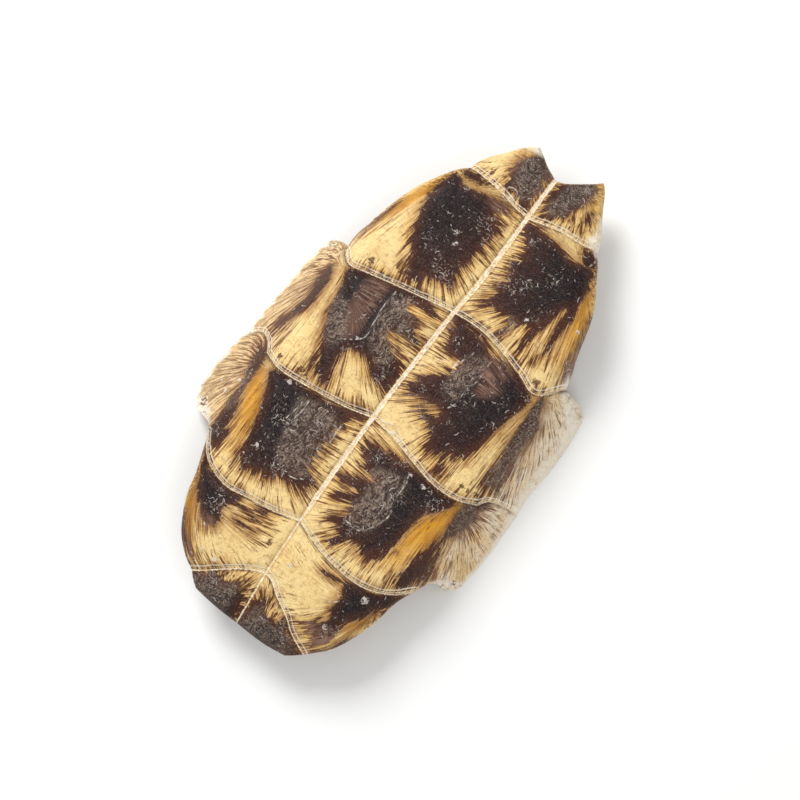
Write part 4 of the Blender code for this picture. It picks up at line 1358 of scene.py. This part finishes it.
        # brown veil and dashes that comb out of it towards the midline and the front seam
        combed = sheet.math("MAXIMUM", sheet.step(middle_gap, 6.0, 15.0, 1.0, 0.0),
                            sheet.step(front, 4.0, 12.0, 0.8, 0.0))
        combed = sheet.times(combed, sheet.inverse(sheet.times(amber_mark, 0.8)))
        lean = sheet.add(sheet.times(near, 0.075), sheet.times(sheet.inverse(combed), -0.5))
        dashes = sheet.add(dash, sheet.add(sheet.times(middle, 0.5), sheet.times(thin, 0.35)))
        comb = sheet.step(sheet.add(sheet.add(dashes, lean), sheet.times(grain, 0.2)), -0.12, 0.2)
        swell = sheet.add(sheet.times(thin, 1.5), sheet.add(sheet.times(middle, 1.3), sheet.times(hair, 1.6)))
        veil = sheet.step(sheet.add(sheet.add(near, sheet.times(reach, swell)), grain), -4.4, 1.2, 0.0, 0.8)
        glow = sheet.step(sheet.add(near, sheet.times(broad, 1.5)), -4.5, 0.0)

        colour = sheet.blend(sheet.step(soft, 0.3, 0.72, 0.0, 0.18), finish.cream, finish.amber)
        colour = sheet.blend(sheet.times(glow, sheet.step(thin, -0.9, 0.8, 0.1, 0.6)), colour, finish.amber)
        fading = sheet.step(sheet.add(share, sheet.times(broad, 0.1)), 0.35, 0.95, 1.0, 0.2)
        band = sheet.times(sheet.times(amber_mark, fading), sheet.step(middle, -1.2, 0.6, 0.75, 1.0))
        burnt = sheet.step(sheet.parts(place)[1], -68.0, -61.0, 0.45, 0.0)
        colour = sheet.blend(band, colour, sheet.blend(burnt, finish.amber, finish.brown))
        colour = sheet.blend(sheet.times(wall, 0.8), colour, finish.tan)
        side, along, _ = sheet.parts(place)
        bleach = sheet.add(sheet.noise(place, 0.12, 3.0),
                           sheet.add(sheet.times(side, 0.005), sheet.times(along, 0.003)))
        colour = sheet.blend(sheet.times(wall, sheet.step(bleach, 0.5, 0.95, 0.0, 0.7)), colour, finish.bare)
        mottle = sheet.noise(place, 1.7, 4.0, 0.75)
        grime = sheet.add(sheet.step(sheet.noise(place, 0.55, 5.0, 0.68), 0.48, 0.72, 0.0, 0.6),
                          sheet.step(mottle, 0.5, 0.7, 0.0, 0.4))
        colour = sheet.blend(grime, colour, finish.dirt)
        hairs = sheet.times(sheet.step(hair, 0.2, 0.9), sheet.step(middle, -0.4, 0.9, 0.2, 0.75))
        colour = sheet.blend(hairs, colour, finish.brown)
        spread = sheet.step(sheet.add(share, sheet.times(broad, 0.2)), 0.4, 1.1, 1.0, 0.45)
        bundles = sheet.add(sheet.add(middle, sheet.times(thin, 1.1)), sheet.times(bleach, -0.7))
        fan = sheet.times(sheet.times(wall, spread), sheet.step(bundles, -0.4, 0.1))
        colour = sheet.blend(fan, colour,
                             sheet.blend(sheet.step(dash, -0.4, 0.4), finish.russet, finish.brown))
        colour = sheet.blend(veil, colour, finish.brown)
        ink = sheet.add(sheet.step(near, -5.0, 0.0, 0.1, 0.8), sheet.times(thin, 0.3))
        colour = sheet.blend(sheet.times(comb, sheet.step(middle, -0.9, 0.6, 0.6, 0.95)), colour,
                             sheet.blend(ink, finish.brown, finish.russet))

        # the horn is blackest round the growth centre and browner where it is thin
        thinner = sheet.step(sheet.add(share, sheet.times(broad, 0.13)), 0.3, 0.85, 0.0, 0.5)
        ring = sheet.node("ShaderNodeCombineXYZ")
        along = sheet.times(sheet.add(share, sheet.times(soft, 0.3)), 52.0)
        for socket, value in zip(ring.inputs, (sheet.times(end, 0.13), along, own)):
            sheet.feed(socket, value)
        rings = sheet.noise(ring.outputs[0], 1.0, 2.0, 0.5, 0.9)
        tint = sheet.add(thinner, sheet.times(brown_mark, 0.6))
        tint = sheet.add(tint, sheet.step(depth, 0.0, 4.5, 0.9, 0.0))
        tint = sheet.times(tint, sheet.step(sheet.add(thin, middle), -1.2, 1.2, 0.2, 1.3))
        tint = sheet.add(tint, sheet.step(rings, 0.56, 0.66, 0.0, 0.12))
        tint = sheet.add(tint, sheet.step(mottle, 0.5, 0.66, 0.0, 0.35))
        ink = sheet.blend(tint, finish.black, finish.russet)
        ink = sheet.blend(sheet.times(brown_mark, sheet.step(dashes, -0.5, 0.7, 0.1, 0.85)), ink,
                          finish.violet)
        colour = sheet.blend(dark, colour, ink)

        # chalk in the wrinkles, dust and scratches
        crease = sheet.math("ABSOLUTE", sheet.math("SUBTRACT", sheet.noise(place, 0.3, 2.0, 0.6, 1.6), 0.5))
        cells = sheet.step(sheet.noise(place, 0.55, 1.0), 0.54, 0.6)
        patchy = sheet.times(sheet.step(sheet.noise(place, 0.09, 2.0), 0.52, 0.66), dark)
        zone = sheet.math("MAXIMUM", sheet.times(haze_mark, 0.6), patchy)
        veins = sheet.times(sheet.times(sheet.step(crease, 0.01, 0.045, 1.0, 0.0), cells), zone)
        wrinkled = sheet.add(sheet.times(rings, 0.6),
                             sheet.times(sheet.noise(place, 0.8, 3.0, 0.6, 0.8), 0.4))
        film = sheet.times(sheet.times(haze_mark, dark), sheet.step(wrinkled, 0.46, 0.56, 0.1, 0.8))
        film = sheet.times(film, sheet.step(mottle, 0.42, 0.6, 0.3, 1.0))
        colour = sheet.blend(film, colour, finish.haze)
        flecks = sheet.times(dark, sheet.step(sheet.noise(place, 1.9, 2.0, 0.8), 0.5, 0.7, 0.0, 0.2))
        colour = sheet.blend(flecks, colour, finish.haze)
        colour = sheet.blend(sheet.times(veins, 0.55), colour, finish.haze)
        chalky = sheet.times(sheet.add(sheet.add(0.04, sheet.times(haze_mark, 0.08)),
                                       sheet.times(patchy, 0.5)), dark)
        for rate, level in ((0.42, 0.6), (1.0, 0.3)):
            chalk = sheet.group(self.strokes, Place=place, Per_millimetre=rate, Amount=chalky).outputs[0]
            colour = sheet.blend(sheet.times(chalk, level), colour, finish.dust)
        amount = sheet.add(sheet.step(dark, 0.0, 1.0, 0.1, 0.45), sheet.times(patchy, 0.15))
        loose = sheet.group(self.specks, Place=place, Per_millimetre=3.4, Amount=amount).outputs[0]
        marks = sheet.group(self.scratches, Place=place, Amount=0.4).outputs[0]
        colour = sheet.blend(sheet.times(loose, 0.55), colour, finish.dust)
        colour = sheet.blend(sheet.times(marks, sheet.step(dark, 0.2, 1.0, 0.1, 0.4)), colour, finish.haze)

        # bare horn and bone at rims, spots, pale flake edges and seams, with painted shadow and painted
        # highlight at the seams' raised rims
        worn = sheet.times(given["Bare"],
                           sheet.step(sheet.add(fine, sheet.times(middle, 0.12)), 0.3, 0.55, 0.3, 0.95))
        colour = sheet.blend(worn, colour, finish.bare)
        ragged = sheet.times(spot, sheet.step(sheet.noise(place, 1.0, 3.0, 0.7), 0.35, 0.65, 0.2, 1.4))
        colour = sheet.blend(sheet.step(ragged, -0.55, -0.2, 0.85, 0.0), colour, finish.russet)
        chip = sheet.step(ragged, 0.3, 0.6, 0.0, 0.8)
        colour = sheet.blend(chip, colour, finish.dust)
        broken = sheet.step(sheet.noise(place, 0.6, 3.0), 0.38, 0.54, 0.1, 1.0)
        flake = sheet.times(sheet.step(sheet.add(edge, sheet.times(mottle, 0.6)), 0.36, 0.66, 0.7, 0.0),
                            broken)
        colour = sheet.blend(flake, colour, sheet.blend(0.5, finish.dust, finish.bead))
        jitter = sheet.times(grain, 0.35)
        # painted shadow: a dark russet band on the scute in front, just before the raised front rim of the
        # scute behind
        shade = sheet.step(sheet.add(rear, jitter), 0.5, 1.7, 0.8, 0.0)
        shade = sheet.times(shade, sheet.step(sheet.noise(place, 0.2, 1.0), 0.35, 0.6, 0.25, 1.0))
        colour = sheet.blend(shade, colour, finish.russet)
        # painted highlight: a pale line along the raised front rim of each scute, 1.7 mm behind the seam in
        # front
        second = sheet.math("ABSOLUTE", sheet.math("SUBTRACT", sheet.add(front, sheet.times(soft, 1.0)), 1.7))
        second = sheet.times(sheet.step(sheet.add(second, sheet.times(jitter, 0.5)), 0.08, 0.34, 0.65, 0.0),
                             sheet.add(sheet.times(broken, 0.5), 0.5))
        colour = sheet.blend(second, colour, finish.bead)
        cross = sheet.step(sheet.add(sheet.math("MINIMUM", front, rear), jitter), 0.3, 0.62, 0.9, 0.0)
        long = sheet.parts(place)[1]
        half = sheet.step(long, -62.0, -50.0, 0.28, 0.85)
        span = sheet.add(sheet.math("SUBTRACT", middle_gap, half), jitter)
        # painted shade: a brown band along both sides of the raised pale bead on the midline
        painted_ridge_shade = sheet.times(sheet.step(span, -0.1, 0.2), sheet.step(span, 0.3, 1.1, 1.0, 0.0))
        colour = sheet.blend(sheet.times(painted_ridge_shade, 0.3), colour, finish.brown)
        core = sheet.step(span, -0.25, 0.15, 0.92, 0.0)
        bead = sheet.math("MAXIMUM", cross, core)
        colour = sheet.blend(bead, colour, sheet.blend(sheet.step(fine, 0.35, 0.65), finish.bead, finish.tan))

        dull = sheet.math("MAXIMUM", sheet.math("MAXIMUM", film, loose), sheet.math("MAXIMUM", worn, bead))
        rough = sheet.add(sheet.step(dull, 0.0, 1.0, finish.roughness, finish.dust_roughness),
                          sheet.times(fine, 0.12))
        height = sheet.add(sheet.times(fine, 0.45), sheet.times(thin, 0.07))
        height = sheet.add(height, sheet.add(sheet.times(middle, 0.07), sheet.times(loose, 0.4)))
        height = sheet.math("SUBTRACT", height, sheet.add(sheet.times(marks, 0.3), sheet.times(veins, 0.35)))
        height = sheet.add(height, sheet.step(rings, 0.45, 0.62, 0.0, 0.3))
        for name, value in (("Color", colour), ("Roughness", rough), ("Height", height)):
            sheet.feed(sheet.result[name], value)
        return sheet.tree


@dataclass
class Materials:
    """The finished materials."""

    effects: Effects

    @staticmethod
    def start(name: str) -> tuple[bpy.types.Material, NodeSheet, bpy.types.Node]:
        """A material with its node sheet and its shader.

        Args:
            name: name of the material.

        Returns:
            The material, the sheet and the Principled node.
        """
        material = bpy.data.materials.new(name)
        material.use_nodes = True
        sheet = NodeSheet(material.node_tree)
        return material, sheet, material.node_tree.nodes["Principled BSDF"]

    @staticmethod
    def place(sheet: NodeSheet) -> bpy.types.NodeSocket:
        """Object coordinates in millimetres."""
        return sheet.scaled(sheet.node("ShaderNodeTexCoord").outputs["Object"], (1000.0, 1000.0, 1000.0))

    def finish(self, sheet: NodeSheet, shader: bpy.types.Node, colour: object, rough: object, height: object,
               relief: float) -> None:
        """Feeds the shader.

        Args:
            sheet: the material's nodes.
            shader: its Principled node.
            colour: base colour.
            rough: roughness.
            height: height for the bump.
            relief: distance that a height of one stands for, in metres.
        """
        bump = sheet.node("ShaderNodeBump")
        bump.inputs["Strength"].default_value = 0.8
        bump.inputs["Distance"].default_value = relief
        sheet.feed(bump.inputs["Height"], height)
        sheet.feed(shader.inputs["Base Color"], colour)
        sheet.feed(shader.inputs["Roughness"], rough)
        sheet.feed(shader.inputs["Normal"], bump.outputs[0])

    def horn_nodes(self, sheet: NodeSheet, place: bpy.types.NodeSocket) -> bpy.types.Node:
        """Places the horn's group and feeds it the marks of the mesh."""
        tone = sheet.attribute("tone")
        wall = sheet.parts(sheet.attribute("place").outputs["Vector"])[0]
        return sheet.group(
            self.effects.horn, Place=place, Growth=sheet.attribute("growth").outputs["Vector"],
            Dark=sheet.attribute("dark").outputs["Fac"], Tone=tone.outputs["Color"],
            Bare=tone.outputs["Alpha"],
            Lines=sheet.attribute("lines").outputs["Vector"], Rows=sheet.attribute("rows").outputs["Vector"],
            Wall=wall,
        )

    def horn(self) -> bpy.types.Material:
        """Horn of the outer face."""
        material, sheet, shader = self.start("dried_horn")
        look = self.horn_nodes(sheet, self.place(sheet))
        self.finish(sheet, shader, look.outputs["Color"], look.outputs["Roughness"], look.outputs["Height"],
                    0.0003)
        shader.inputs["Specular IOR Level"].default_value = 0.16
        return material

    def bone(self) -> bpy.types.Material:
        """Bone of the inner face, with the horn that wraps round the lobes' rims."""
        finish = BoneFinish()
        material, sheet, shader = self.start("bare_bone")
        place = self.place(sheet)
        pores = sheet.group(self.effects.pores, Place=place, Per_millimetre=0.9)
        broad = sheet.noise(place, 0.06, 4.0, 0.6)
        colour = sheet.blend(sheet.step(broad, 0.35, 0.7), finish.cream, finish.shade)
        colour = sheet.blend(sheet.times(pores.outputs["Mask"], 0.6), colour, finish.pore)
        _, suture, cut = sheet.parts(sheet.attribute("place").outputs["Vector"])
        ragged = sheet.add(suture,
                           sheet.times(sheet.math("SUBTRACT", sheet.noise(place, 0.55, 3.0, 0.7), 0.5), 7.0))
        line = sheet.step(sheet.math("ABSOLUTE", ragged), 0.12, 0.45, 1.0, 0.0)
        line = sheet.times(line, sheet.step(suture, 2.0, 3.0, 1.0, 0.0))
        colour = sheet.blend(sheet.times(line, 0.7), colour, finish.suture)
        look = self.horn_nodes(sheet, place)
        rim = sheet.parts(sheet.attribute("lines").outputs["Vector"])[1]
        wrap = sheet.step(sheet.add(rim, sheet.times(sheet.noise(place, 0.2, 3.0), 5.0)), 9.5, 10.3, 1.0, 0.0)
        wrap = sheet.times(wrap, sheet.step(cut, 8.0, 11.0))
        colour = sheet.blend(wrap, colour, look.outputs["Color"])
        height = sheet.math("SUBTRACT", pores.outputs["Height"], sheet.times(line, 0.8))
        height = sheet.add(sheet.times(height, sheet.inverse(wrap)),
                           sheet.times(look.outputs["Height"], wrap))
        rough = sheet.step(wrap, 0.0, 1.0, finish.roughness, 0.5)
        self.finish(sheet, shader, colour, rough, height, 0.00035)
        return material

    def crumb(self, name: str, finish: CrumbFinish) -> bpy.types.Material:
        """Material of loose flakes and seam ridges.

        Args:
            name: name of the material.
            finish: its colours.

        Returns:
            The material.
        """
        material, sheet, shader = self.start(name)
        place = self.place(sheet)
        mottle = sheet.noise(place, 0.7, 4.0, 0.7)
        specks = sheet.group(self.effects.specks, Place=place, Per_millimetre=3.0, Amount=0.9).outputs[0]
        colour = sheet.blend(sheet.step(mottle, 0.4, 0.66), finish.pale, finish.dull)
        colour = sheet.blend(sheet.times(specks, 0.5), colour, finish.pale)
        pores = sheet.group(self.effects.pores, Place=place, Per_millimetre=1.6)
        self.finish(sheet, shader, colour, sheet.step(mottle, 0.3, 0.7, finish.roughness, 0.9),
                    pores.outputs["Height"], 0.00025)
        return material


# Geometry nodes


class GeometryTree(NodeSheet):
    """A geometry node tree with named inputs, applied once and then turned into a plain mesh."""

    def __init__(self, name: str, inputs: dict[str, str]) -> None:
        """Makes the tree with a geometry input and output.

        Args:
            name: name of the tree.
            inputs: socket type of each further input.
        """
        super().__init__(bpy.data.node_groups.new(name, "GeometryNodeTree"))
        face = self.tree.interface
        face.new_socket("Geometry", in_out="INPUT", socket_type="NodeSocketGeometry")
        self.keys = {
            key: face.new_socket(key, in_out="INPUT", socket_type=f"NodeSocket{kind}").identifier
            for key, kind in inputs.items()
        }
        face.new_socket("Geometry", in_out="OUTPUT", socket_type="NodeSocketGeometry")
        self.given = self.node("NodeGroupInput").outputs
        self.result = self.node("NodeGroupOutput").inputs

    def close(self, geometry: object) -> None:
        """Ends the tree in Realize Instances and Set Material."""
        real = self.node("GeometryNodeRealizeInstances")
        self.feed(real.inputs[0], geometry)
        smooth = self.node("GeometryNodeSetShadeSmooth")
        self.feed(smooth.inputs["Geometry"], real.outputs[0])
        finish = self.node("GeometryNodeSetMaterial")
        self.feed(finish.inputs["Geometry"], smooth.outputs[0])
        self.feed(finish.inputs["Material"], self.given["Material"])
        self.feed(self.result["Geometry"], finish.outputs[0])

    def attribute_value(self, name: str) -> bpy.types.NodeSocket:
        """A number stored on the points."""
        node = self.node("GeometryNodeInputNamedAttribute", data_type="FLOAT")
        node.inputs["Name"].default_value = name
        return node.outputs[0]

    def apply(self, name: str, mesh: bpy.types.Mesh, values: dict[str, object]) -> bpy.types.Object:
        """Runs the tree on a mesh.

        Args:
            name: name of the finished object.
            mesh: what the tree starts from.
            values: value of each named input.

        Returns:
            An object with a plain mesh.
        """
        source = bpy.data.objects.new(name, mesh)
        bpy.context.scene.collection.objects.link(source)
        modifier = source.modifiers.new("build", "NODES")
        modifier.node_group = self.tree
        for key, value in values.items():
            modifier[self.keys[key]] = value
        graph = bpy.context.evaluated_depsgraph_get()
        made = bpy.data.meshes.new_from_object(source.evaluated_get(graph), depsgraph=graph)
        source.modifiers.remove(modifier)
        source.data = made
        made.name = name
        return source


@dataclass
class SeamRidges:
    """Dried skin that stands in the seams as a thin broken ridge."""

    shell: Plastron
    spacing: float = 0.45
    sink: float = 0.28
    lowest: float = 1.2
    corners: int = 7
    radius: float = 0.75
    waver: float = 0.9
    drift_scale: float = 420.0
    drift_centre: tuple[float, float, float] = (0.5, 0.5, 0.55)
    thickness_scale: float = 700.0
    thickness_detail: float = 3.0

    def tree(self) -> GeometryTree:
        """Sweeps a noisy ring along each line of the source."""
        tree = GeometryTree("seam_ridge", {"Radius": "Float", "Spacing": "Float", "Waver": "Float",
                                           "Corners": "Int", "Material": "Material"})
        curve = tree.node("GeometryNodeMeshToCurve")
        tree.feed(curve.inputs["Mesh"], tree.given["Geometry"])
        even = tree.node("GeometryNodeResampleCurve", mode="LENGTH")
        tree.feed(even.inputs["Curve"], curve.outputs[0])
        tree.feed(even.inputs["Length"], tree.given["Spacing"])
        place = tree.node("GeometryNodeInputPosition").outputs[0]
        drift = tree.node("ShaderNodeTexNoise")
        tree.feed(drift.inputs["Vector"], place)
        drift.inputs["Scale"].default_value = self.drift_scale
        centred = tree.node("ShaderNodeVectorMath", operation="SUBTRACT")
        tree.feed(centred.inputs[0], drift.outputs["Color"])
        centred.inputs[1].default_value = self.drift_centre
        shift = tree.node("ShaderNodeVectorMath", operation="SCALE")
        tree.feed(shift.inputs[0], centred.outputs[0])
        tree.feed(shift.inputs["Scale"], tree.given["Waver"])
        moved = tree.node("GeometryNodeSetPosition")
        tree.feed(moved.inputs["Geometry"], even.outputs[0])
        tree.feed(moved.inputs["Offset"], shift.outputs[0])
        thick = tree.node("ShaderNodeTexNoise")
        tree.feed(thick.inputs["Vector"], place)
        thick.inputs["Scale"].default_value = self.thickness_scale
        thick.inputs["Detail"].default_value = self.thickness_detail
        size = tree.times(tree.step(thick.outputs["Fac"], 0.32, 0.68, 0.35, 1.25),
                          tree.attribute_value("width"))
        ring = tree.node("GeometryNodeCurvePrimitiveCircle")
        tree.feed(ring.inputs["Resolution"], tree.given["Corners"])
        tree.feed(ring.inputs["Radius"], tree.given["Radius"])
        sweep = tree.node("GeometryNodeCurveToMesh")
        tree.feed(sweep.inputs["Curve"], moved.outputs[0])
        tree.feed(sweep.inputs["Profile Curve"], ring.outputs[0])
        tree.feed(sweep.inputs["Scale"], size)
        sweep.inputs["Fill Caps"].default_value = True
        tree.close(sweep.outputs[0])
        return tree

    def lines(self) -> list[tuple[Array, Array]]:
        """Each ridge as plan points and the share of full width at each."""
        shell = self.shell
        lines = []
        middle = np.vstack([part[:-1] for part in shell.midlines] + [shell.midlines[-1][-1:]])
        lines.append((middle, smooth_step(middle[:, 1], -62.0, -50.0) * 0.6 + 0.2))
        strength = {1: 0.25, 2: 0.4, 3: 0.36, 4: 0.36, 5: 0.36}
        for side in Side:
            for band, level in strength.items():
                line = shell.seams[side][band]
                if band == 3:
                    line = np.vstack([line[:-1], shell.walls[side][1]])
                lines.append((line, np.full(len(line), level)))
        return lines

    def build(self, material: bpy.types.Material, surface: "Surface") -> bpy.types.Object:
        """Makes the ridges.

        Args:
            material: their finish.
            surface: the shell's face, which they lie on.

        Returns:
            The finished object.
        """
        points, edges, widths = [], [], []
        for line, width in self.lines():
            start = len(points)
            lifted = surface.on_face(line, -self.sink)
            above = lifted[:, 2] > self.lowest * MM
            lifted, width = lifted[above], width[above]
            points += lifted.tolist()
            widths += width.tolist()
            edges += [(start + k, start + k + 1) for k in range(len(lifted) - 1)]
        mesh = bpy.data.meshes.new("seam_lines")
        mesh.from_pydata(points, edges, [])
        Plastron.write(mesh, "width", "FLOAT", "POINT", np.array(widths))
        values = {"Radius": self.radius * MM, "Spacing": self.spacing * MM, "Waver": self.waver * MM,
                  "Corners": self.corners,
                  "Material": material}
        return self.tree().apply("seam_ridges", mesh, values)


@dataclass
class Surface:
    """Finds points on the shell's outer face."""

    shell: bpy.types.Object
    form: ShellForm

    def on_face(self, plan: Array, lift: float) -> Array:
        """Points on the outer face.

        Args:
            plan: plan points in millimetres.
            lift: how far they stand off the face, in millimetres.

        Returns:
            Points in metres.
        """
        found = []
        flat = self.form.to_metres(np.column_stack([plan, np.zeros(len(plan))]))
        for x, y, _ in flat:
            hit, place, normal, _ = self.shell.ray_cast(Vector((x, y, 0.1)), Vector((0.0, 0.0, -1.0)))
            if not hit:
                place, normal = self.shell.closest_point_on_mesh(Vector((x, y, 0.015)))[1:3]
            found.append(place + normal * lift * MM)
        return np.array(found)


@dataclass
class Scatter:
    """Small loose pieces spread over part of the shell."""

    density: float
    size: tuple[float, float]
    stretch: tuple[float, float, float]
    seed: int

    def tree(self) -> GeometryTree:
        """Spreads noisy flattened balls over the source's faces by its density attribute."""
        tree = GeometryTree("loose_pieces", {
            "Density": "Float", "Smallest": "Float", "Largest": "Float", "Stretch": "Vector", "Seed": "Int",
            "Material": "Material"})
        spread = tree.node("GeometryNodeDistributePointsOnFaces", distribute_method="RANDOM")
        tree.feed(spread.inputs["Mesh"], tree.given["Geometry"])
        tree.feed(spread.inputs["Density"],
                  tree.times(tree.given["Density"], tree.attribute_value("density")))
        tree.feed(spread.inputs["Seed"], tree.given["Seed"])
        chip = tree.node("GeometryNodeMeshIcoSphere")
        chip.inputs["Radius"].default_value = 0.5
        chip.inputs["Subdivisions"].default_value = 2
        rough = tree.node("ShaderNodeTexNoise")
        rough.inputs["Scale"].default_value = 2.6
        centred = tree.node("ShaderNodeVectorMath", operation="SUBTRACT")
        tree.feed(centred.inputs[0], rough.outputs["Color"])
        centred.inputs[1].default_value = (0.5, 0.5, 0.5)
        ragged = tree.node("GeometryNodeSetPosition")
        tree.feed(ragged.inputs["Geometry"], chip.outputs["Mesh"])
        tree.feed(ragged.inputs["Offset"], centred.outputs[0])
        spin = tree.node("FunctionNodeRandomValue", data_type="FLOAT_VECTOR")
        spin.inputs["Min"].default_value = (-0.3, -0.3, 0.0)
        spin.inputs["Max"].default_value = (0.3, 0.3, 6.2832)
        tree.feed(spin.inputs["Seed"], tree.given["Seed"])
        turned = tree.node("FunctionNodeRotateRotation", rotation_space="LOCAL")
        tree.feed(turned.inputs["Rotation"], spread.outputs["Rotation"])
        tree.feed(turned.inputs["Rotate By"], spin.outputs[0])
        pick = tree.node("FunctionNodeRandomValue", data_type="FLOAT")
        tree.feed(pick.inputs[2], tree.given["Smallest"])
        tree.feed(pick.inputs[3], tree.given["Largest"])
        scale = tree.node("ShaderNodeVectorMath", operation="SCALE")
        tree.feed(scale.inputs[0], tree.given["Stretch"])
        tree.feed(scale.inputs["Scale"], pick.outputs[1])
        copies = tree.node("GeometryNodeInstanceOnPoints")
        tree.feed(copies.inputs["Points"], spread.outputs["Points"])
        tree.feed(copies.inputs["Instance"], ragged.outputs[0])
        tree.feed(copies.inputs["Rotation"], turned.outputs[0])
        tree.feed(copies.inputs["Scale"], scale.outputs[0])
        tree.close(copies.outputs[0])
        return tree

    def build(self, name: str, shell: Plastron, outer: bpy.types.Object, weights: Array,
              material: bpy.types.Material) -> bpy.types.Object:
        """Makes the pieces.

        Args:
            name: name of the finished object.
            shell: the shell's loft.
            outer: the shell's object.
            weights: share of the full density at each plan point.
            material: their finish.

        Returns:
            The finished object.
        """
        quads = np.concatenate([shell.quads(ids).reshape(-1, 4) for ids, _ in shell.scutes()])
        chosen = quads[weights[quads].max(axis=1) > 0.01]
        ids, back = np.unique(chosen, return_inverse=True)
        points = np.empty(len(outer.data.vertices) * 3, dtype=np.float32)
        outer.data.vertices.foreach_get("co", points)
        mesh = bpy.data.meshes.new(name + "_bed")
        mesh.from_pydata(points.reshape(-1, 3)[ids].tolist(), [], back.reshape(chosen.shape).tolist())
        Plastron.write(mesh, "density", "FLOAT", "POINT", weights[ids])
        values = {"Density": self.density, "Smallest": self.size[0] * MM, "Largest": self.size[1] * MM,
                  "Stretch": self.stretch, "Seed": self.seed, "Material": material}
        return self.tree().apply(name, mesh, values)


# Studio


@dataclass
class Studio:
    """Floor, lights and camera."""

    azimuth: float = 37.1
    elevation: float = 80.0
    place: tuple[float, float, float] = (0.06016, -0.08175, 0.55511)
    lens: float = 70.0
    floor_colour: Colour = (0.92, 0.92, 0.91)
    floor_roughness: float = 0.9
    floor_half_side: float = 3.0

    def floor(self) -> bpy.types.Object:
        """A plain pale floor."""
        mesh = bpy.data.meshes.new("floor")
        half = self.floor_half_side
        mesh.from_pydata([(-half, -half, 0), (half, -half, 0), (half, half, 0), (-half, half, 0)], [],
                         [(0, 1, 2, 3)])
        material = bpy.data.materials.new("pale_floor")
        material.use_nodes = True
        shader = material.node_tree.nodes["Principled BSDF"]
        shader.inputs["Base Color"].default_value = (*self.floor_colour, 1.0)
        shader.inputs["Roughness"].default_value = self.floor_roughness
        mesh.materials.append(material)
        floor = bpy.data.objects.new("floor", mesh)
        bpy.context.scene.collection.objects.link(floor)
        return floor

    def light(self, name: str, place: tuple[float, float, float], size: float, power: float) -> None:
        """Adds a soft square light that points at the shell.

        Args:
            name: name of the light.
            place: where it is, in metres.
            size: its side, in metres.
            power: its power, in watts.
        """
        data = bpy.data.lights.new(name, "AREA")
        data.shape = "SQUARE"
        data.size = size
        data.energy = power
        lamp = bpy.data.objects.new(name, data)
        lamp.location = place
        lamp.rotation_euler = (-Vector(place)).to_track_quat("-Z", "Y").to_euler()
        bpy.context.scene.collection.objects.link(lamp)

    def world(self, strength: float) -> None:
        """Even white light from all round."""
        world = bpy.data.worlds.new("studio")
        world.use_nodes = True
        world.node_tree.nodes["Background"].inputs["Color"].default_value = (1.0, 1.0, 1.0, 1.0)
        world.node_tree.nodes["Background"].inputs["Strength"].default_value = strength
        bpy.context.scene.world = world

    def camera(self) -> None:
        """Camera at the photograph's viewing angle."""
        a, e = math.radians(self.azimuth), math.radians(self.elevation)
        back = Vector((math.sin(a) * math.cos(e), -math.cos(a) * math.cos(e), math.sin(e)))
        right = Vector((math.cos(a), math.sin(a), 0.0))
        up = back.cross(right)
        data = bpy.data.cameras.new("camera")
        data.lens = self.lens
        data.sensor_width = 36.0
        data.clip_start = 0.01
        camera = bpy.data.objects.new("camera", data)
        camera.matrix_world = Matrix((right, up, back)).transposed().to_4x4()
        camera.location = self.place
        bpy.context.scene.collection.objects.link(camera)
        bpy.context.scene.camera = camera

    def build(self) -> None:
        """Sets the whole studio up, with colours shown as they are."""
        bpy.context.scene.view_settings.view_transform = "Standard"
        self.camera()
        self.floor()
        self.world(0.5)
        self.light("key", (-0.65, 0.3, 0.65), 0.45, 8.0)
        self.light("fill", (0.7, -0.4, 0.8), 1.0, 4.0)


def report(piece: bpy.types.Object) -> None:
    """Ties a piece to the frame and logs it.

    Args:
        piece: the finished piece.
    """
    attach(piece, "root")
    piece.data.calc_loop_triangles()
    log.info("%s: %d triangles", piece.name, len(piece.data.loop_triangles))


def main() -> None:
    """Builds the shell, its seams and its loose pieces, and the studio."""
    logging.basicConfig(level=logging.INFO, format="%(message)s")
    Studio().build()
    materials = Materials(Effects())
    form = ShellForm()
    plastron = Plastron(form)
    shell = plastron.build(materials.horn(), materials.bone())
    report(shell)
    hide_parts("plastron")
    bpy.context.view_layer.update()

    ridge = materials.crumb("seam_skin", CrumbFinish(linear(246, 232, 204), linear(200, 170, 126), 0.6))
    report(SeamRidges(plastron).build(ridge, Surface(shell, form)))

    dust = materials.crumb("loose_scale", CrumbFinish(linear(176, 164, 152), linear(112, 100, 92), 0.7))
    dark = smooth_step(depth_in(plastron.plan, DARK_PATCHES), -0.5, 2.0)
    patchy = smooth_step(lattice_noise(plastron.plan, 7.0, 31), -0.6, 0.6) * 0.8 + 0.2
    weights = (dark * patchy + 0.06) * smooth_step(plastron.cut_gap, 1.0, 3.0) * smooth_step(plastron.rim,
                                                                                             1.0, 3.0)
    scales = Scatter(density=22000.0, size=(0.3, 1.1), stretch=(1.0, 0.36, 0.2), seed=5)
    report(scales.build("loose_scales", plastron, shell, weights, dust))

    bone = materials.crumb("bone_crumb", CrumbFinish(linear(244, 234, 218), linear(206, 180, 150), 0.8))
    crumbs = Scatter(density=420000.0, size=(0.4, 1.7), stretch=(1.0, 0.7, 0.5), seed=9)
    weights = in_spots(plastron.plan, BROKEN_SPOTS)
    report(crumbs.build("bone_crumbs", plastron, shell, weights, bone))


if __name__ == "__main__":
    main()
